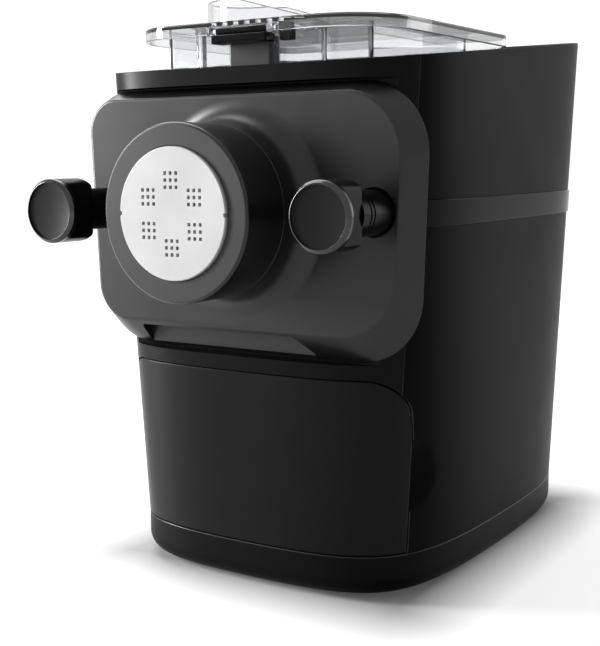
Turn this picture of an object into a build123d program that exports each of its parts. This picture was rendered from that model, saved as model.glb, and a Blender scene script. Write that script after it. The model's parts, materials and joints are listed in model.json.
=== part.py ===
from build123d import *
from math import cos, radians, sin, tan
import os

os.makedirs("parts", exist_ok=True)

# Electric pasta maker, in millimetres: X to the right, Y to the back, Z up from the table.
# X = 0 is the middle plane and Y = 0 the middle of the overall depth. The nose, the
# kneading screw and the drive turn about one axis along Y at axis_height.

# overall
overall_depth = 352
axis_height = 230
wall = 3
fit = 0.3
running = 0.04
seam = 0.5

# housing plan, from the base seam to the sloping rim
seam_height = 27.5
rim_rise = 83
rim_slope = 5.7
side_taper = 4.5
rim_half_width = 116.5
base_fullness = 0.88
rim_fullness = 1.05
nose_reach = 59
frame_depth = 23.5

# base tray, feet and weighing cells
foot_height = 2
foot_radius = 9
foot_recess = 1.5
foot_inset_x = 34
foot_front = 52
foot_back = 50
leg_inset_x = 22
leg_front = 74
leg_back = 98
leg_width = 10
tray_edge_radius = 12
cell_width = 12
cell_length = 34
cell_height = 6
cell_hole_radius = 3.4
foot_edge = 1
screw_radius = 1.7
screw_head_radius = 3.4
screw_length = 12
screw_edge = 5

# nose, shaping disc and extrusion tube
disc_proud = 1.7
disc_face_radius = 36.9
disc_flange_radius = 40.8
disc_face_depth = 5
disc_flange_depth = 4
hole_size = 2
hole_pitch = 3.83
hole_group_radius = 18.5
disc_notch_radius = 1.3
ring_radius = 50
ring_length = 35
ring_lip = 3
disc_opening_radius = 37.3
ring_chamfer = 1.2
flare_radius = 14
tube_inner_radius = 24
tube_wall = 3
funnel_length = 16

# front panel
panel_proud = 1.8
panel_depth = 14.5
panel_face_top = 66.5
panel_face_bottom = 70
panel_face_inset_top = 4.5
panel_face_inset_bottom = 10
panel_face_corner = 36.5
panel_back_top = 72.7
panel_back_bottom = 87.3
panel_overhang_top = 6
panel_inset_bottom = 0.4
panel_back_corner = 41
grip_left = -76
grip_right = 48
grip_low = 85
grip_high = 73.5
grip_depth = 12.3
grip_corner = 4
panel_skin = 3.5
ring_bore_radius = 42.5

# clamping knobs and their studs
knob_inset = 23
knob_setback = 1.2
knob_radius = 19
knob_length = 26
knob_flat = 11
knob_cap_length = 5.5
knob_neck_radius = 12.6
knob_shaft_radius = 9.5
knob_face_radius = 16.6
knob_face_depth = 3
knob_dish = 1
knob_ring_depth = 4
knob_core_radius = 7
knob_core_front = 25
knob_flange_radius = 12
knob_flange_thickness = 1.5
knob_neck_length = 36.2
knob_groove = 1.2
knob_bevel = 1.8
stud_radius = 4
stud_length = 56
stud_nut_radius = 7
stud_boss_radius = 8
recess_radius = 13.4
recess_depth = 6
recess_wall = 2.5
seal_width = 6
seal_depth = 5

# storage drawer
drawer_top = 133
drawer_inset = 11
drawer_corner = 20
drawer_wrap = 31.5
drawer_front_wall = 3
drawer_inner_face = 18
drawer_box_inset = 34
drawer_box_depth = 92
drawer_box_height = 84
drawer_box_wall = 2
runner_width = 6
runner_lip = 3
runner_lip_height = 9
runner_clearance = 0.3
runner_low = 14
runner_height = 20
rib_spacing = 120
rib_thickness = 4
rack_thickness = 3
rack_height = 40
rack_margin = 2
stored_disc_count = 3
stored_disc_thickness = 7
stored_disc_step = 4
stored_slot_length = 34
stored_slot_width = 4
tool_length = 78
tool_width = 14
tool_thickness = 5
tool_inset = 26
dimple_radius = 34
dimple_depth = 8
dimple_height = 74

# trim band round the sides and back
band_low = 220
band_high = 236
band_proud = 1
band_groove = 1.2
band_start = 31

# deck, lid and mixing chamber
deck_drop = 8
deck_thickness = 3
ledge_width = 5
deck_gap = 1.5
pocket_roof = 1.5
deck_corner = 16
lid_half_width = 91.5
lid_front = 4
lid_overhang = 36.5
lid_low_rise = 19
lid_high_rise = 26.6
lid_wall = 2.5
lid_front_corner = 42
lid_back_corner = 16
chamber_half_width = 74
chamber_bottom_radius = 52
chamber_wall = 2.5
chamber_front = 31.5
shaft_room = 44.8
chamber_flare_drop = 15
bay_half_width = 47
bay_depth = 7
bay_height = 28
post_half_width = 15.5
post_depth = 8.5
post_rise = 18
latch_half_width = 19.5
latch_depth = 11
latch_pin_radius = 1.6
latch_barrel_radius = 2.6
latch_pin_rise = 21.2
latch_pin_set = 7.3
latch_drop = 7.5
ear_thickness = 3
tab_width = 7
tab_x = 29.5
tab_depth = 6
tab_set = 5.3
tab_low_rise = 14
slot_count = 7
slot_width = 4
slot_pitch = 8
slot_length = 34
inlet_half_width = 40
inlet_half_depth = 28
inlet_height = 13.5
inlet_wall = 2.2
inlet_middle = 32
inlet_tilt = 16
inlet_level_x = -5
seal_flange_radius = 16
seal_radius = 12
seal_flange_thickness = 2

# drive
gear_module = 1.5
motor_teeth = 14
reduction_teeth = 56
small_teeth = 18
output_teeth = 92
gear_width = 10
motor_radius = 38
motor_gap = 9.3
motor_wall = 2.5
motor_cap_depth = 12
armature_slots = 12
fan_blades = 9
fan_blade_thickness = 1.6
motor_shaft_radius = 4
armature_radius = 23
stator_inner_radius = 23.8
fan_radius = 30
fan_width = 6
output_shaft_radius = 8
hex_across = 13
bush_radius = 13
pin_radius = 5
gear_case_wall = 3
gear_case_depth = 34
gear_case_gap = 2
gear_case_corner = 14
pin_boss_radius = 8
bush_length = 5
gear_holes = 6
gear_hole_radius = 12
screw_core_radius = 8
hub_radius = 14
hub_length = 30
screw_tip_gap = 2
flight_start = 3
flight_radius = 22.6
flight_pitch = 22
flight_thickness = 4
flight_root = 1
paddle_radius = 48
paddle_width = 10
paddle_thickness = 5
paddle_blade = 22
paddle_blade_thickness = 6
paddle_count = 4
paddle_margin = 14

# chassis
plate = 3
rail_height = 20
rail_width = 6
rail_low = 150
saddle_top = 200
saddle_inset = 23.5
leg_length = 20
bulkhead_set = 88
bulkhead_low = 34
plate_drop = 19
stud_nut_length = 4

# electrics
board_thickness = 1.6
board_half_width = 62
board_set = 8.5
board_height = 90
board_hole_inset = 6
board_layout = (
    (-34, 19, 30, 26, 22),
    (2, 21, 22, 22, 14),
    (36, 19, 12, 34, 24),
    (-38, -21, 16, 16, 12),
    (-12, -21, 20, 10, 5),
    (32, -23, 24, 18, 10),
)
capacitor_radius = 5
capacitor_length = 16
capacitor_height = -3
capacitor_places = (18, 30)
board_standoff = 7
standoff_radius = 3
control_gap = 8
glass_width = 150
glass_depth = 58
glass_thickness = 2
glass_gap = 7
glass_ledge = 4
glass_corner = 6
port_half_width = 60
port_low = 40
port_high = 84
port_depth = 9
port_offset = 32
switch_width = 20
switch_height = 28
inlet_socket_width = 27
inlet_socket_height = 20
rocker_width = 15
rocker_height = 22
rocker_throw = 14
rocker_pivot_set = 4
rocker_reach = 5
rocker_pivot_radius = 1.5
port_flange = 1.5
port_flange_edge = 2
socket_depth = 22
socket_wall = 2.5
pin_width = 4
pin_thickness = 2
pin_length = 11
pin_pitch = 7
switch_depth = 17
switch_wall = 1.8
vent_count = 11
vent_width = 3
vent_height = 46
vent_pitch = 8
vent_low = 100

# places worked out from the sizes above
front_y = -overall_depth / 2
rear_y = overall_depth / 2
rim_height = axis_height + rim_rise
lid_low = rim_height + lid_low_rise
lid_high = rim_height + lid_high_rise
chamber_flare_height = rim_height - chamber_flare_drop
post_top = rim_height + post_rise
latch_pin_height = rim_height + latch_pin_rise
tab_low = rim_height + tab_low_rise
plate_top = rim_height - plate_drop
base_half_width = rim_half_width - side_taper
foot_spread_x = base_half_width - foot_inset_x
leg_spread_x = base_half_width - leg_inset_x
panel_face_half_top = rim_half_width - panel_face_inset_top
panel_face_half_bottom = rim_half_width - panel_face_inset_bottom
panel_back_half_top = rim_half_width + panel_overhang_top
panel_back_half_bottom = rim_half_width - panel_inset_bottom
knob_spacing = rim_half_width - knob_inset
drawer_half_width = base_half_width - drawer_inset
drawer_box_half_width = base_half_width - drawer_box_inset
tool_x = drawer_box_half_width - drawer_box_wall - tool_inset
bulkhead_y = rear_y - bulkhead_set
ring_face_y = front_y + disc_proud
housing_front_y = ring_face_y + nose_reach
housing_depth = rear_y - housing_front_y
housing_mid_y = (rear_y + housing_front_y) / 2
split_y = housing_front_y + frame_depth
panel_face_y = housing_front_y - panel_proud
panel_back_y = panel_face_y + panel_depth
port_mid = (port_low + port_high) / 2
loft_top = rim_height + housing_depth * tan(radians(rim_slope)) + wall
tray_floor = foot_height + wall
tube_outer_radius = tube_inner_radius + tube_wall
rim_plane = Plane(
    origin=(0, housing_front_y, rim_height),
    x_dir=(1, 0, 0),
    z_dir=(0, -sin(radians(rim_slope)), cos(radians(rim_slope))),
)
wide = 2 * overall_depth


def keep(piece, name):
    """Name a finished piece and write its STEP file."""
    piece.part.label = name
    export_step(piece.part, f"parts/{name}.step")


def block(low, high, mode=Mode.ADD):
    """Add a box between two corners."""
    middle = [(a + b) / 2 for a, b in zip(low, high)]
    size = [b - a for a, b in zip(low, high)]
    with Locations(tuple(middle)):
        Box(*size, mode=mode)


def rod(radius, y_from, y_to, x=0, z=axis_height, mode=Mode.ADD):
    """Add a cylinder that lies along Y."""
    with Locations(Location((x, (y_from + y_to) / 2, z), (90, 0, 0))):
        Cylinder(radius, y_to - y_from, mode=mode)


def facing(y):
    """Plane across the machine at y, drawn as X and Z and facing the front."""
    return Plane.XZ.offset(-y)


def housing_plan(height, inset):
    """Outline of the housing at a height: four full curves, drawn in by inset."""
    rise = (height - seam_height) / (rim_height - seam_height)
    half_x = base_half_width + (rim_half_width - base_half_width) * rise - inset
    half_y = housing_depth / 2 - inset
    fullness = base_fullness + (rim_fullness - base_fullness) * rise
    with BuildSketch(Plane((0, housing_mid_y, height))) as plan:
        with BuildLine():
            for side in (1, -1):
                for end in (1, -1):
                    Bezier(
                        (side * half_x, 0),
                        (side * half_x, end * fullness * half_y),
                        (side * fullness * half_x, end * half_y),
                        (0, end * half_y),
                    )
        make_face()
    return plan.sketch


def housing_loft(inset, low=seam_height, high=loft_top):
    """Solid inside the housing walls, drawn in by inset."""
    with BuildPart() as solid:
        loft([housing_plan(low, inset), housing_plan(high, inset)])
    return solid.part


def panel_outline(plane, half_top, half_bottom, top, bottom, corner):
    """Rounded panel outline round the nose axis, a little wider at the top."""
    with BuildSketch(plane) as outline:
        Polygon(
            (-half_top, axis_height + top),
            (half_top, axis_height + top),
            (half_bottom, axis_height - bottom),
            (-half_bottom, axis_height - bottom),
            align=None,
        )
        fillet(outline.vertices(), corner)
    return outline.sketch


def drawer_outline(plane, clearance):
    """Drawer opening seen from the front: square at the base seam, round above."""
    half = drawer_half_width + clearance
    top = drawer_top + clearance
    with BuildSketch(plane) as outline:
        Polygon(
            (-half, seam_height - wall),
            (half, seam_height - wall),
            (half, top),
            (-half, top),
            align=None,
        )
        fillet(outline.vertices().group_by(Axis.Y)[-1], drawer_corner)
    return outline.sketch


def gear_outline(plane, teeth, first_angle):
    """Spur gear face with straight flanks and short teeth; one tooth is at first_angle."""
    pitch_radius = teeth * gear_module / 2
    root = pitch_radius - 1.25 * gear_module
    tip = pitch_radius + 0.8 * gear_module
    pitch = 3.1416 * gear_module
    with BuildSketch(plane) as outline:
        Circle(root)
        with PolarLocations(0, teeth, start_angle=first_angle):
            Polygon(
                (root - 0.5 * gear_module, -0.30 * pitch),
                (root, -0.30 * pitch),
                (pitch_radius, -0.20 * pitch),
                (tip, -0.10 * pitch),
                (tip, 0.10 * pitch),
                (pitch_radius, 0.20 * pitch),
                (root, 0.30 * pitch),
                (root - 0.5 * gear_module, 0.30 * pitch),
                align=None,
            )
    return outline.sketch


def chamber_profile(plane, inset):
    """Mixing chamber section: round trough below, leaning sides, upright rim."""
    with BuildSketch(plane) as profile:
        with Locations((0, axis_height)):
            Circle(chamber_bottom_radius + chamber_wall - inset)
        with Locations((0, (chamber_flare_height + chamber_top) / 2)):
            Rectangle(2 * (chamber_half_width - inset), chamber_top - chamber_flare_height)
        make_hull()
    return profile.sketch


def tray_solid(inset, bottom):
    """Round-bottomed tray shape below the base seam, drawn in by inset."""
    with BuildPart() as solid:
        extrude(housing_plan(seam_height, inset), amount=bottom - seam_height)
        fillet(solid.edges().group_by(Axis.Z)[0], tray_edge_radius - inset)
    return solid.part


def on_table(radius, height, x, y, z, mode=Mode.ADD):
    """Add an upright cylinder that stands on height z."""
    with Locations((x, y, z)):
        Cylinder(radius, height, align=(Align.CENTER, Align.CENTER, Align.MIN), mode=mode)


housing_outer = housing_loft(0)
housing_inner = housing_loft(wall)
housing_liner = housing_loft(wall + fit)

# ---------------------------------------------------------------- base
foot_places = [
    (side * foot_spread_x, y)
    for side in (-1, 1)
    for y in (housing_front_y + foot_front, rear_y - foot_back)
]
leg_places = [
    (side * leg_spread_x, y)
    for side in (-1, 1)
    for y in (housing_front_y + leg_front, rear_y - leg_back)
]
with BuildPart() as base_tray:
    add(tray_solid(0, foot_height))
    add(tray_solid(wall, tray_floor), mode=Mode.SUBTRACT)
    for x, y in foot_places:
        on_table(foot_radius + fit, foot_recess, x, y, foot_height, Mode.SUBTRACT)
    for x, y in leg_places:
        on_table(screw_radius + fit, 2 * wall, x, y, foot_height, Mode.SUBTRACT)
        on_table(screw_head_radius + fit, foot_recess, x, y, foot_height, Mode.SUBTRACT)
keep(base_tray, "base_tray")

with BuildPart() as feet:
    for x, y in foot_places:
        on_table(foot_radius, foot_height + foot_recess, x, y, 0)
    fillet(feet.edges().group_by(Axis.Z)[0], foot_edge)
keep(feet, "feet")

with BuildPart() as load_cells:
    for x, y in foot_places:
        block(
            (x - cell_width / 2, y - cell_length / 2, tray_floor),
            (x + cell_width / 2, y + cell_length / 2, tray_floor + cell_height),
        )
        on_table(cell_hole_radius, cell_height, x, y, tray_floor, Mode.SUBTRACT)
keep(load_cells, "load_cells")

with BuildPart() as base_screws:
    for x, y in leg_places:
        on_table(screw_head_radius, foot_recess, x, y, foot_height)
        on_table(screw_radius, screw_length, x, y, foot_height)
keep(base_screws, "base_screws")

# ---------------------------------------------------------------- housing
panel_low = axis_height - panel_back_bottom
panel_high = axis_height + panel_back_top
opening_top = drawer_top + seam
pocket_y = panel_back_y + fit
drawer_edge_y = housing_front_y + drawer_wrap
dimple_reach = drawer_half_width + 0.89 * (dimple_radius - dimple_depth)
dimple_y = drawer_edge_y - 0.46 * (dimple_radius - dimple_depth)
chassis_front_y = split_y
chamber_front_y = housing_front_y + chamber_front
chamber_back_y = bulkhead_y - shaft_room
chamber_length = chamber_back_y - chamber_front_y
lid_front_y = housing_front_y + lid_front
lid_back_y = chamber_back_y + lid_overhang
chamber_top = lid_high - lid_wall - fit
back_half = Plane((0, split_y, 0), z_dir=(0, 1, 0))
port_floor_y = rear_y - port_depth
stud_sides = (-knob_spacing, knob_spacing)

with BuildPart() as above_rim:
    with BuildSketch(rim_plane):
        Rectangle(2 * wide, 3 * wide)
    extrude(amount=wide)

with BuildPart() as deck_ledge:
    with BuildSketch(rim_plane.offset(-deck_drop)):
        Rectangle(2 * wide, 3 * wide)
    extrude(amount=-wall)
    add(housing_loft(wall - fit), mode=Mode.INTERSECT)
    add(housing_loft(wall + ledge_width), mode=Mode.SUBTRACT)

with BuildPart() as dimple_cups:
    for side in (-1, 1):
        with Locations((side * dimple_reach, dimple_y, dimple_height)):
            Sphere(dimple_radius + wall)
    add(housing_loft(wall - fit), mode=Mode.INTERSECT)
    split(bisect_by=Plane((0, drawer_edge_y + seam, 0), z_dir=(0, 1, 0)), keep=Keep.TOP)

with BuildPart() as band_channel:
    block((-wide, housing_front_y + band_start, band_low), (wide, wide, band_high))
    add(housing_loft(band_groove), mode=Mode.SUBTRACT)

with BuildPart() as port_cup:
    block((-port_half_width, port_floor_y - wall, port_low), (port_half_width, wide, port_high))
    add(housing_loft(wall - fit), mode=Mode.INTERSECT)

with BuildPart() as rear_housing:
    add(housing_outer)
    add(housing_inner, mode=Mode.SUBTRACT)
    add(deck_ledge.part)
    add(dimple_cups.part)
    add(port_cup.part)
    split(bisect_by=back_half, keep=Keep.TOP)
    add(above_rim.part, mode=Mode.SUBTRACT)
    extrude(drawer_outline(facing(drawer_edge_y + seam), seam), amount=wide, mode=Mode.SUBTRACT)
    add(band_channel.part, mode=Mode.SUBTRACT)
    for side in (-1, 1):
        with Locations((side * dimple_reach, dimple_y, dimple_height)):
            Sphere(dimple_radius, mode=Mode.SUBTRACT)
    block(
        (-port_half_width + wall, port_floor_y, port_low + wall),
        (port_half_width - wall, wide, port_high - wall),
        Mode.SUBTRACT,
    )
    block(
        (-port_offset - inlet_socket_width / 2 - fit, 0, port_mid - inlet_socket_height / 2 - fit),
        (-port_offset + inlet_socket_width / 2 + fit, wide, port_mid + inlet_socket_height / 2 + fit),
        Mode.SUBTRACT,
    )
    block(
        (port_offset - switch_width / 2 - fit, 0, port_mid - switch_height / 2 - fit),
        (port_offset + switch_width / 2 + fit, wide, port_mid + switch_height / 2 + fit),
        Mode.SUBTRACT,
    )
    with BuildSketch(facing(0)):
        with Locations((0, vent_low + vent_height / 2)):
            with GridLocations(vent_pitch, 1, vent_count, 1):
                SlotOverall(vent_height, vent_width, rotation=90)
    extrude(amount=-wide, mode=Mode.SUBTRACT)
keep(rear_housing, "rear_housing")

with BuildPart() as frame_walls:
    pocket_low = panel_low - seam
    pocket_high = panel_high + seam
    block((-wide, pocket_y, pocket_low - wall), (wide, pocket_y + wall, pocket_high + pocket_roof))
    block((-wide, -wide, pocket_low - wall), (wide, pocket_y + wall, pocket_low))
    block((-wide, -wide, pocket_high), (wide, pocket_y + wall, pocket_high + pocket_roof))
    block((-wide, -wide, opening_top), (wide, split_y, opening_top + wall))
    for x in stud_sides:
        rod(stud_boss_radius, pocket_y, split_y, x)
    add(housing_loft(wall - fit), mode=Mode.INTERSECT)

with BuildPart() as front_frame:
    add(housing_outer)
    add(housing_inner, mode=Mode.SUBTRACT)
    add(deck_ledge.part)
    add(frame_walls.part)
    extrude(drawer_outline(facing(drawer_edge_y + seam), seam), amount=wide, mode=Mode.SUBTRACT)
    split(bisect_by=back_half, keep=Keep.BOTTOM)
    add(above_rim.part, mode=Mode.SUBTRACT)
    block((-wide, -wide, pocket_low), (wide, pocket_y, pocket_high), Mode.SUBTRACT)
    rod(tube_outer_radius + 2 * fit, -wide, 0, mode=Mode.SUBTRACT)
    for x in stud_sides:
        rod(stud_radius + fit, -wide, 0, x, mode=Mode.SUBTRACT)
keep(front_frame, "front_frame")

with BuildPart() as trim_band:
    block(
        (-wide, housing_front_y + band_start + fit, band_low + fit),
        (wide, wide, band_high - fit),
    )
    add(housing_loft(-band_proud), mode=Mode.INTERSECT)
    add(housing_loft(band_groove - fit), mode=Mode.SUBTRACT)
keep(trim_band, "trim_band")

# ---------------------------------------------------------------- deck and its panel
opening_half = chamber_half_width + deck_gap
opening_front = chamber_front_y - bay_depth - deck_gap
opening_back = chamber_back_y + deck_gap
glass_front_y = lid_back_y + glass_gap
glass_mid_y = glass_front_y + glass_depth / 2
deck_top = rim_plane.offset(-deck_drop + deck_thickness)
with BuildPart() as top_deck:
    with BuildSketch(rim_plane.offset(-deck_drop)):
        Rectangle(2 * wide, 3 * wide)
    extrude(amount=deck_thickness)
    add(housing_liner, mode=Mode.INTERSECT)
    with BuildSketch(Plane((0, (opening_front + opening_back) / 2, 0))):
        RectangleRounded(2 * opening_half, opening_back - opening_front, deck_corner)
    extrude(amount=2 * wide, mode=Mode.SUBTRACT)
    with BuildSketch(Plane((0, glass_mid_y, 0))):
        Rectangle(glass_width - 2 * glass_ledge, glass_depth - 2 * glass_ledge)
    extrude(amount=2 * wide, mode=Mode.SUBTRACT)
keep(top_deck, "top_deck")

with BuildPart() as control_glass:
    with BuildSketch(deck_top):
        with Locations((0, (glass_mid_y - housing_front_y) / cos(radians(rim_slope)))):
            RectangleRounded(glass_width, glass_depth, glass_corner)
    extrude(amount=glass_thickness)
keep(control_glass, "control_glass")

with BuildPart() as control_board:
    with BuildSketch(deck_top.offset(-deck_thickness - control_gap - board_thickness)):
        with Locations((0, (glass_mid_y - housing_front_y) / cos(radians(rim_slope)))):
            Rectangle(glass_width, glass_depth)
    extrude(amount=board_thickness)
    with BuildSketch(deck_top.offset(-deck_thickness - control_gap)):
        with Locations((0, (glass_mid_y - housing_front_y) / cos(radians(rim_slope)))):
            with GridLocations(glass_width - 2 * glass_corner, glass_depth - 2 * glass_corner, 2, 2):
                Circle(standoff_radius)
    extrude(amount=control_gap)
keep(control_board, "control_board")

# ---------------------------------------------------------------- chassis and studs
bulkhead_back_y = bulkhead_y + plate
rail_high = rail_low + rail_height
motor_height = axis_height - (small_teeth + output_teeth + motor_teeth + reduction_teeth) * gear_module / 2
reduction_height = motor_height + (motor_teeth + reduction_teeth) * gear_module / 2
with BuildPart() as chassis:
    block((-wide, chassis_front_y, rail_low), (wide, chassis_front_y + plate, plate_top))
    for side in (-1, 1):
        rail_outer = side * (leg_spread_x + leg_width / 2)
        rail_inner = rail_outer - side * rail_width
        block(
            (min(rail_inner, rail_outer), chassis_front_y, rail_low),
            (max(rail_inner, rail_outer), bulkhead_y, rail_high),
        )
    for y in (chamber_front_y + saddle_inset, chamber_back_y - saddle_inset):
        block((-leg_spread_x, y, rail_low), (leg_spread_x, y + plate, saddle_top))
    extrude(chamber_profile(facing(chamber_front_y - fit), -fit), amount=-wide, mode=Mode.SUBTRACT)
    block((-wide, bulkhead_y, rail_low), (wide, bulkhead_back_y, plate_top))
    add(housing_loft(wall + seam), mode=Mode.INTERSECT)
    for x, y in leg_places:
        block(
            (x - leg_width / 2, y - leg_length / 2, tray_floor),
            (x + leg_width / 2, y + leg_length / 2, rail_high),
        )
        on_table(screw_radius + running, screw_length, x, y, tray_floor, Mode.SUBTRACT)
    block((-leg_spread_x, bulkhead_y, bulkhead_low), (leg_spread_x, bulkhead_back_y, rail_low))
    rod(tube_outer_radius + fit, -wide, chassis_front_y + plate, mode=Mode.SUBTRACT)
    rod(output_shaft_radius + 2, bulkhead_y, bulkhead_back_y, mode=Mode.SUBTRACT)
    rod(motor_shaft_radius + 2, bulkhead_y, bulkhead_back_y, z=motor_height, mode=Mode.SUBTRACT)
    for x in stud_sides:
        rod(stud_radius + running, -wide, 0, x, mode=Mode.SUBTRACT)
keep(chassis, "chassis")

stud_root_y = chassis_front_y + plate
with BuildPart() as clamp_studs:
    for x in stud_sides:
        rod(stud_radius, stud_root_y - stud_length, stud_root_y, x)
        rod(stud_nut_radius, stud_root_y, stud_root_y + stud_nut_length, x)
    chamfer(clamp_studs.edges().group_by(Axis.Y)[0], 1)
keep(clamp_studs, "clamp_studs")

# ---------------------------------------------------------------- motor
box_front_y = housing_front_y + drawer_inner_face
box_back_y = box_front_y + drawer_box_depth
motor_front_y = box_back_y + motor_gap
cap_front_y = bulkhead_y - motor_cap_depth
with BuildPart() as motor_can:
    rod(motor_radius, motor_front_y, cap_front_y, z=motor_height)
    rod(motor_radius - motor_wall, motor_front_y + motor_wall, cap_front_y, z=motor_height, mode=Mode.SUBTRACT)
    rod(motor_shaft_radius + running, motor_front_y, cap_front_y, z=motor_height, mode=Mode.SUBTRACT)
    fillet(motor_can.edges().filter_by(GeomType.CIRCLE).group_by(Axis.Y)[0][-1], motor_wall / 2)
keep(motor_can, "motor_can")

with BuildPart() as motor_end_cap:
    rod(motor_radius, cap_front_y, bulkhead_y, z=motor_height)
    rod(motor_radius - motor_wall, cap_front_y, bulkhead_y - motor_wall, z=motor_height, mode=Mode.SUBTRACT)
    rod(motor_shaft_radius + running, cap_front_y, bulkhead_y, z=motor_height, mode=Mode.SUBTRACT)
keep(motor_end_cap, "motor_end_cap")

stator_front_y = motor_front_y + motor_wall + fan_width + 4 * fit
with BuildPart() as motor_stator:
    rod(motor_radius - motor_wall - running, stator_front_y, cap_front_y, z=motor_height)
    rod(stator_inner_radius, stator_front_y, cap_front_y, z=motor_height, mode=Mode.SUBTRACT)
keep(motor_stator, "motor_stator")

pinion_front_y = bulkhead_back_y + gear_case_wall + 2
pinion_back_y = pinion_front_y + gear_width
with BuildPart() as motor_shaft:
    rod(motor_shaft_radius, motor_front_y, pinion_back_y, z=motor_height)
keep(motor_shaft, "motor_shaft")

with BuildPart() as motor_armature:
    rod(armature_radius, stator_front_y, cap_front_y - 2, z=motor_height)
    with BuildSketch(facing(stator_front_y)):
        with Locations((0, motor_height)):
            with PolarLocations(armature_radius, armature_slots):
                Circle(1.5)
    extrude(amount=-wide, mode=Mode.SUBTRACT)
    rod(motor_shaft_radius + running, -wide, wide, z=motor_height, mode=Mode.SUBTRACT)
keep(motor_armature, "motor_armature")

with BuildPart() as motor_fan:
    fan_front_y = motor_front_y + motor_wall + 2 * fit
    rod(3 * motor_shaft_radius, fan_front_y, fan_front_y + fan_width, z=motor_height)
    with BuildSketch(facing(fan_front_y)):
        with Locations((0, motor_height)):
            with PolarLocations(0, fan_blades):
                with Locations((fan_radius / 2, 0)):
                    Rectangle(fan_radius, fan_blade_thickness)
    extrude(amount=-fan_width)
    rod(motor_shaft_radius + running, -wide, wide, z=motor_height, mode=Mode.SUBTRACT)
keep(motor_fan, "motor_fan")

# ---------------------------------------------------------------- gears
small_back_y = pinion_back_y + 3 + gear_width
with BuildPart() as motor_pinion:
    with BuildSketch(facing(pinion_front_y)):
        with Locations((0, motor_height)):
            add(gear_outline(Plane.XY, motor_teeth, 90))
    extrude(amount=-gear_width)
    rod(motor_shaft_radius + running, -wide, wide, z=motor_height, mode=Mode.SUBTRACT)
keep(motor_pinion, "motor_pinion")

with BuildPart() as reduction_gear:
    with BuildSketch(facing(pinion_front_y)):
        with Locations((0, reduction_height)):
            add(gear_outline(Plane.XY, reduction_teeth, 270 + 180 / reduction_teeth))
    extrude(amount=-gear_width)
    with BuildSketch(facing(pinion_back_y)):
        with Locations((0, reduction_height)):
            add(gear_outline(Plane.XY, small_teeth, 90))
    extrude(amount=pinion_back_y - small_back_y)
    rod(pin_radius + running, 0, wide, z=reduction_height, mode=Mode.SUBTRACT)
keep(reduction_gear, "reduction_gear")

with BuildPart() as output_gear:
    with BuildSketch(facing(small_back_y - gear_width)):
        with Locations((0, axis_height)):
            add(gear_outline(Plane.XY, output_teeth, 270 + 180 / output_teeth))
            with PolarLocations((output_teeth * gear_module / 2 + bush_radius) / 2, gear_holes):
                Circle(gear_hole_radius, mode=Mode.SUBTRACT)
    extrude(amount=-gear_width)
    rod(output_shaft_radius + running, 0, wide, mode=Mode.SUBTRACT)
keep(output_gear, "output_gear")

case_back_y = bulkhead_back_y + gear_case_depth
case_half = (output_teeth / 2 + 1) * gear_module + gear_case_gap + gear_case_wall
case_low = motor_height - motor_teeth * gear_module / 2 - 2 * gear_case_gap - gear_case_wall
case_high = axis_height + case_half
with BuildPart() as gear_case:
    with BuildSketch(facing(bulkhead_back_y)):
        with Locations((0, (case_low + case_high) / 2)):
            RectangleRounded(2 * case_half, case_high - case_low, gear_case_corner)
    extrude(amount=-gear_case_depth)
    with BuildSketch(facing(case_back_y)):
        with Locations((0, (case_low + case_high) / 2)):
            RectangleRounded(
                2 * (case_half - gear_case_wall),
                case_high - case_low - 2 * gear_case_wall,
                gear_case_corner - gear_case_wall,
            )
    extrude(amount=gear_case_depth - gear_case_wall, mode=Mode.SUBTRACT)
    rod(pin_boss_radius, bulkhead_back_y, pinion_front_y - fit, z=reduction_height)
    rod(pin_radius + running, bulkhead_back_y, case_back_y, z=reduction_height, mode=Mode.SUBTRACT)
    rod(bush_radius + running, bulkhead_back_y, case_back_y, mode=Mode.SUBTRACT)
    rod(motor_shaft_radius + 2 * fit, bulkhead_back_y, case_back_y, z=motor_height, mode=Mode.SUBTRACT)
keep(gear_case, "gear_case")

cover_back_y = case_back_y + gear_case_wall
board_front_y = cover_back_y + board_standoff
board_low = case_low + board_set
board_high = board_low + board_height
board_mid = (board_low + board_high) / 2
board_holes = [
    (side * (board_half_width - board_hole_inset), z)
    for side in (-1, 1)
    for z in (board_low + board_hole_inset, board_high - board_hole_inset)
]
with BuildPart() as gear_case_cover:
    with BuildSketch(facing(cover_back_y)):
        with Locations((0, (case_low + case_high) / 2)):
            RectangleRounded(2 * case_half, case_high - case_low, gear_case_corner)
    extrude(amount=gear_case_wall)
    for x, z in board_holes:
        rod(standoff_radius, case_back_y, board_front_y, x, z)
    rod(pin_radius + running, case_back_y, wide, z=reduction_height, mode=Mode.SUBTRACT)
    rod(bush_radius + running, case_back_y, wide, mode=Mode.SUBTRACT)
keep(gear_case_cover, "gear_case_cover")

with BuildPart() as gear_case_screws:
    with BuildSketch(facing(cover_back_y)):
        with Locations((0, (case_low + case_high) / 2)):
            with GridLocations(2 * (case_half - screw_edge), (case_high - case_low) / 2 - 4 * screw_edge, 2, 3):
                Circle(screw_head_radius)
    extrude(amount=-2)
keep(gear_case_screws, "gear_case_screws")

with BuildPart() as reduction_pin:
    rod(pin_radius, bulkhead_back_y, cover_back_y, z=reduction_height)
keep(reduction_pin, "reduction_pin")

with BuildPart() as output_bushes:
    for y in (bulkhead_back_y, cover_back_y - bush_length):
        rod(bush_radius, y, y + bush_length)
        rod(output_shaft_radius + running, y, y + bush_length, mode=Mode.SUBTRACT)
keep(output_bushes, "output_bushes")

# ---------------------------------------------------------------- front panel and nose
boss_front_y = ring_face_y + ring_length
boss_floor_y = panel_face_y + recess_depth
flange_front_y = boss_floor_y + wall + fit
flange_back_y = flange_front_y + knob_flange_thickness
knob_front_y = front_y + knob_setback


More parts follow.
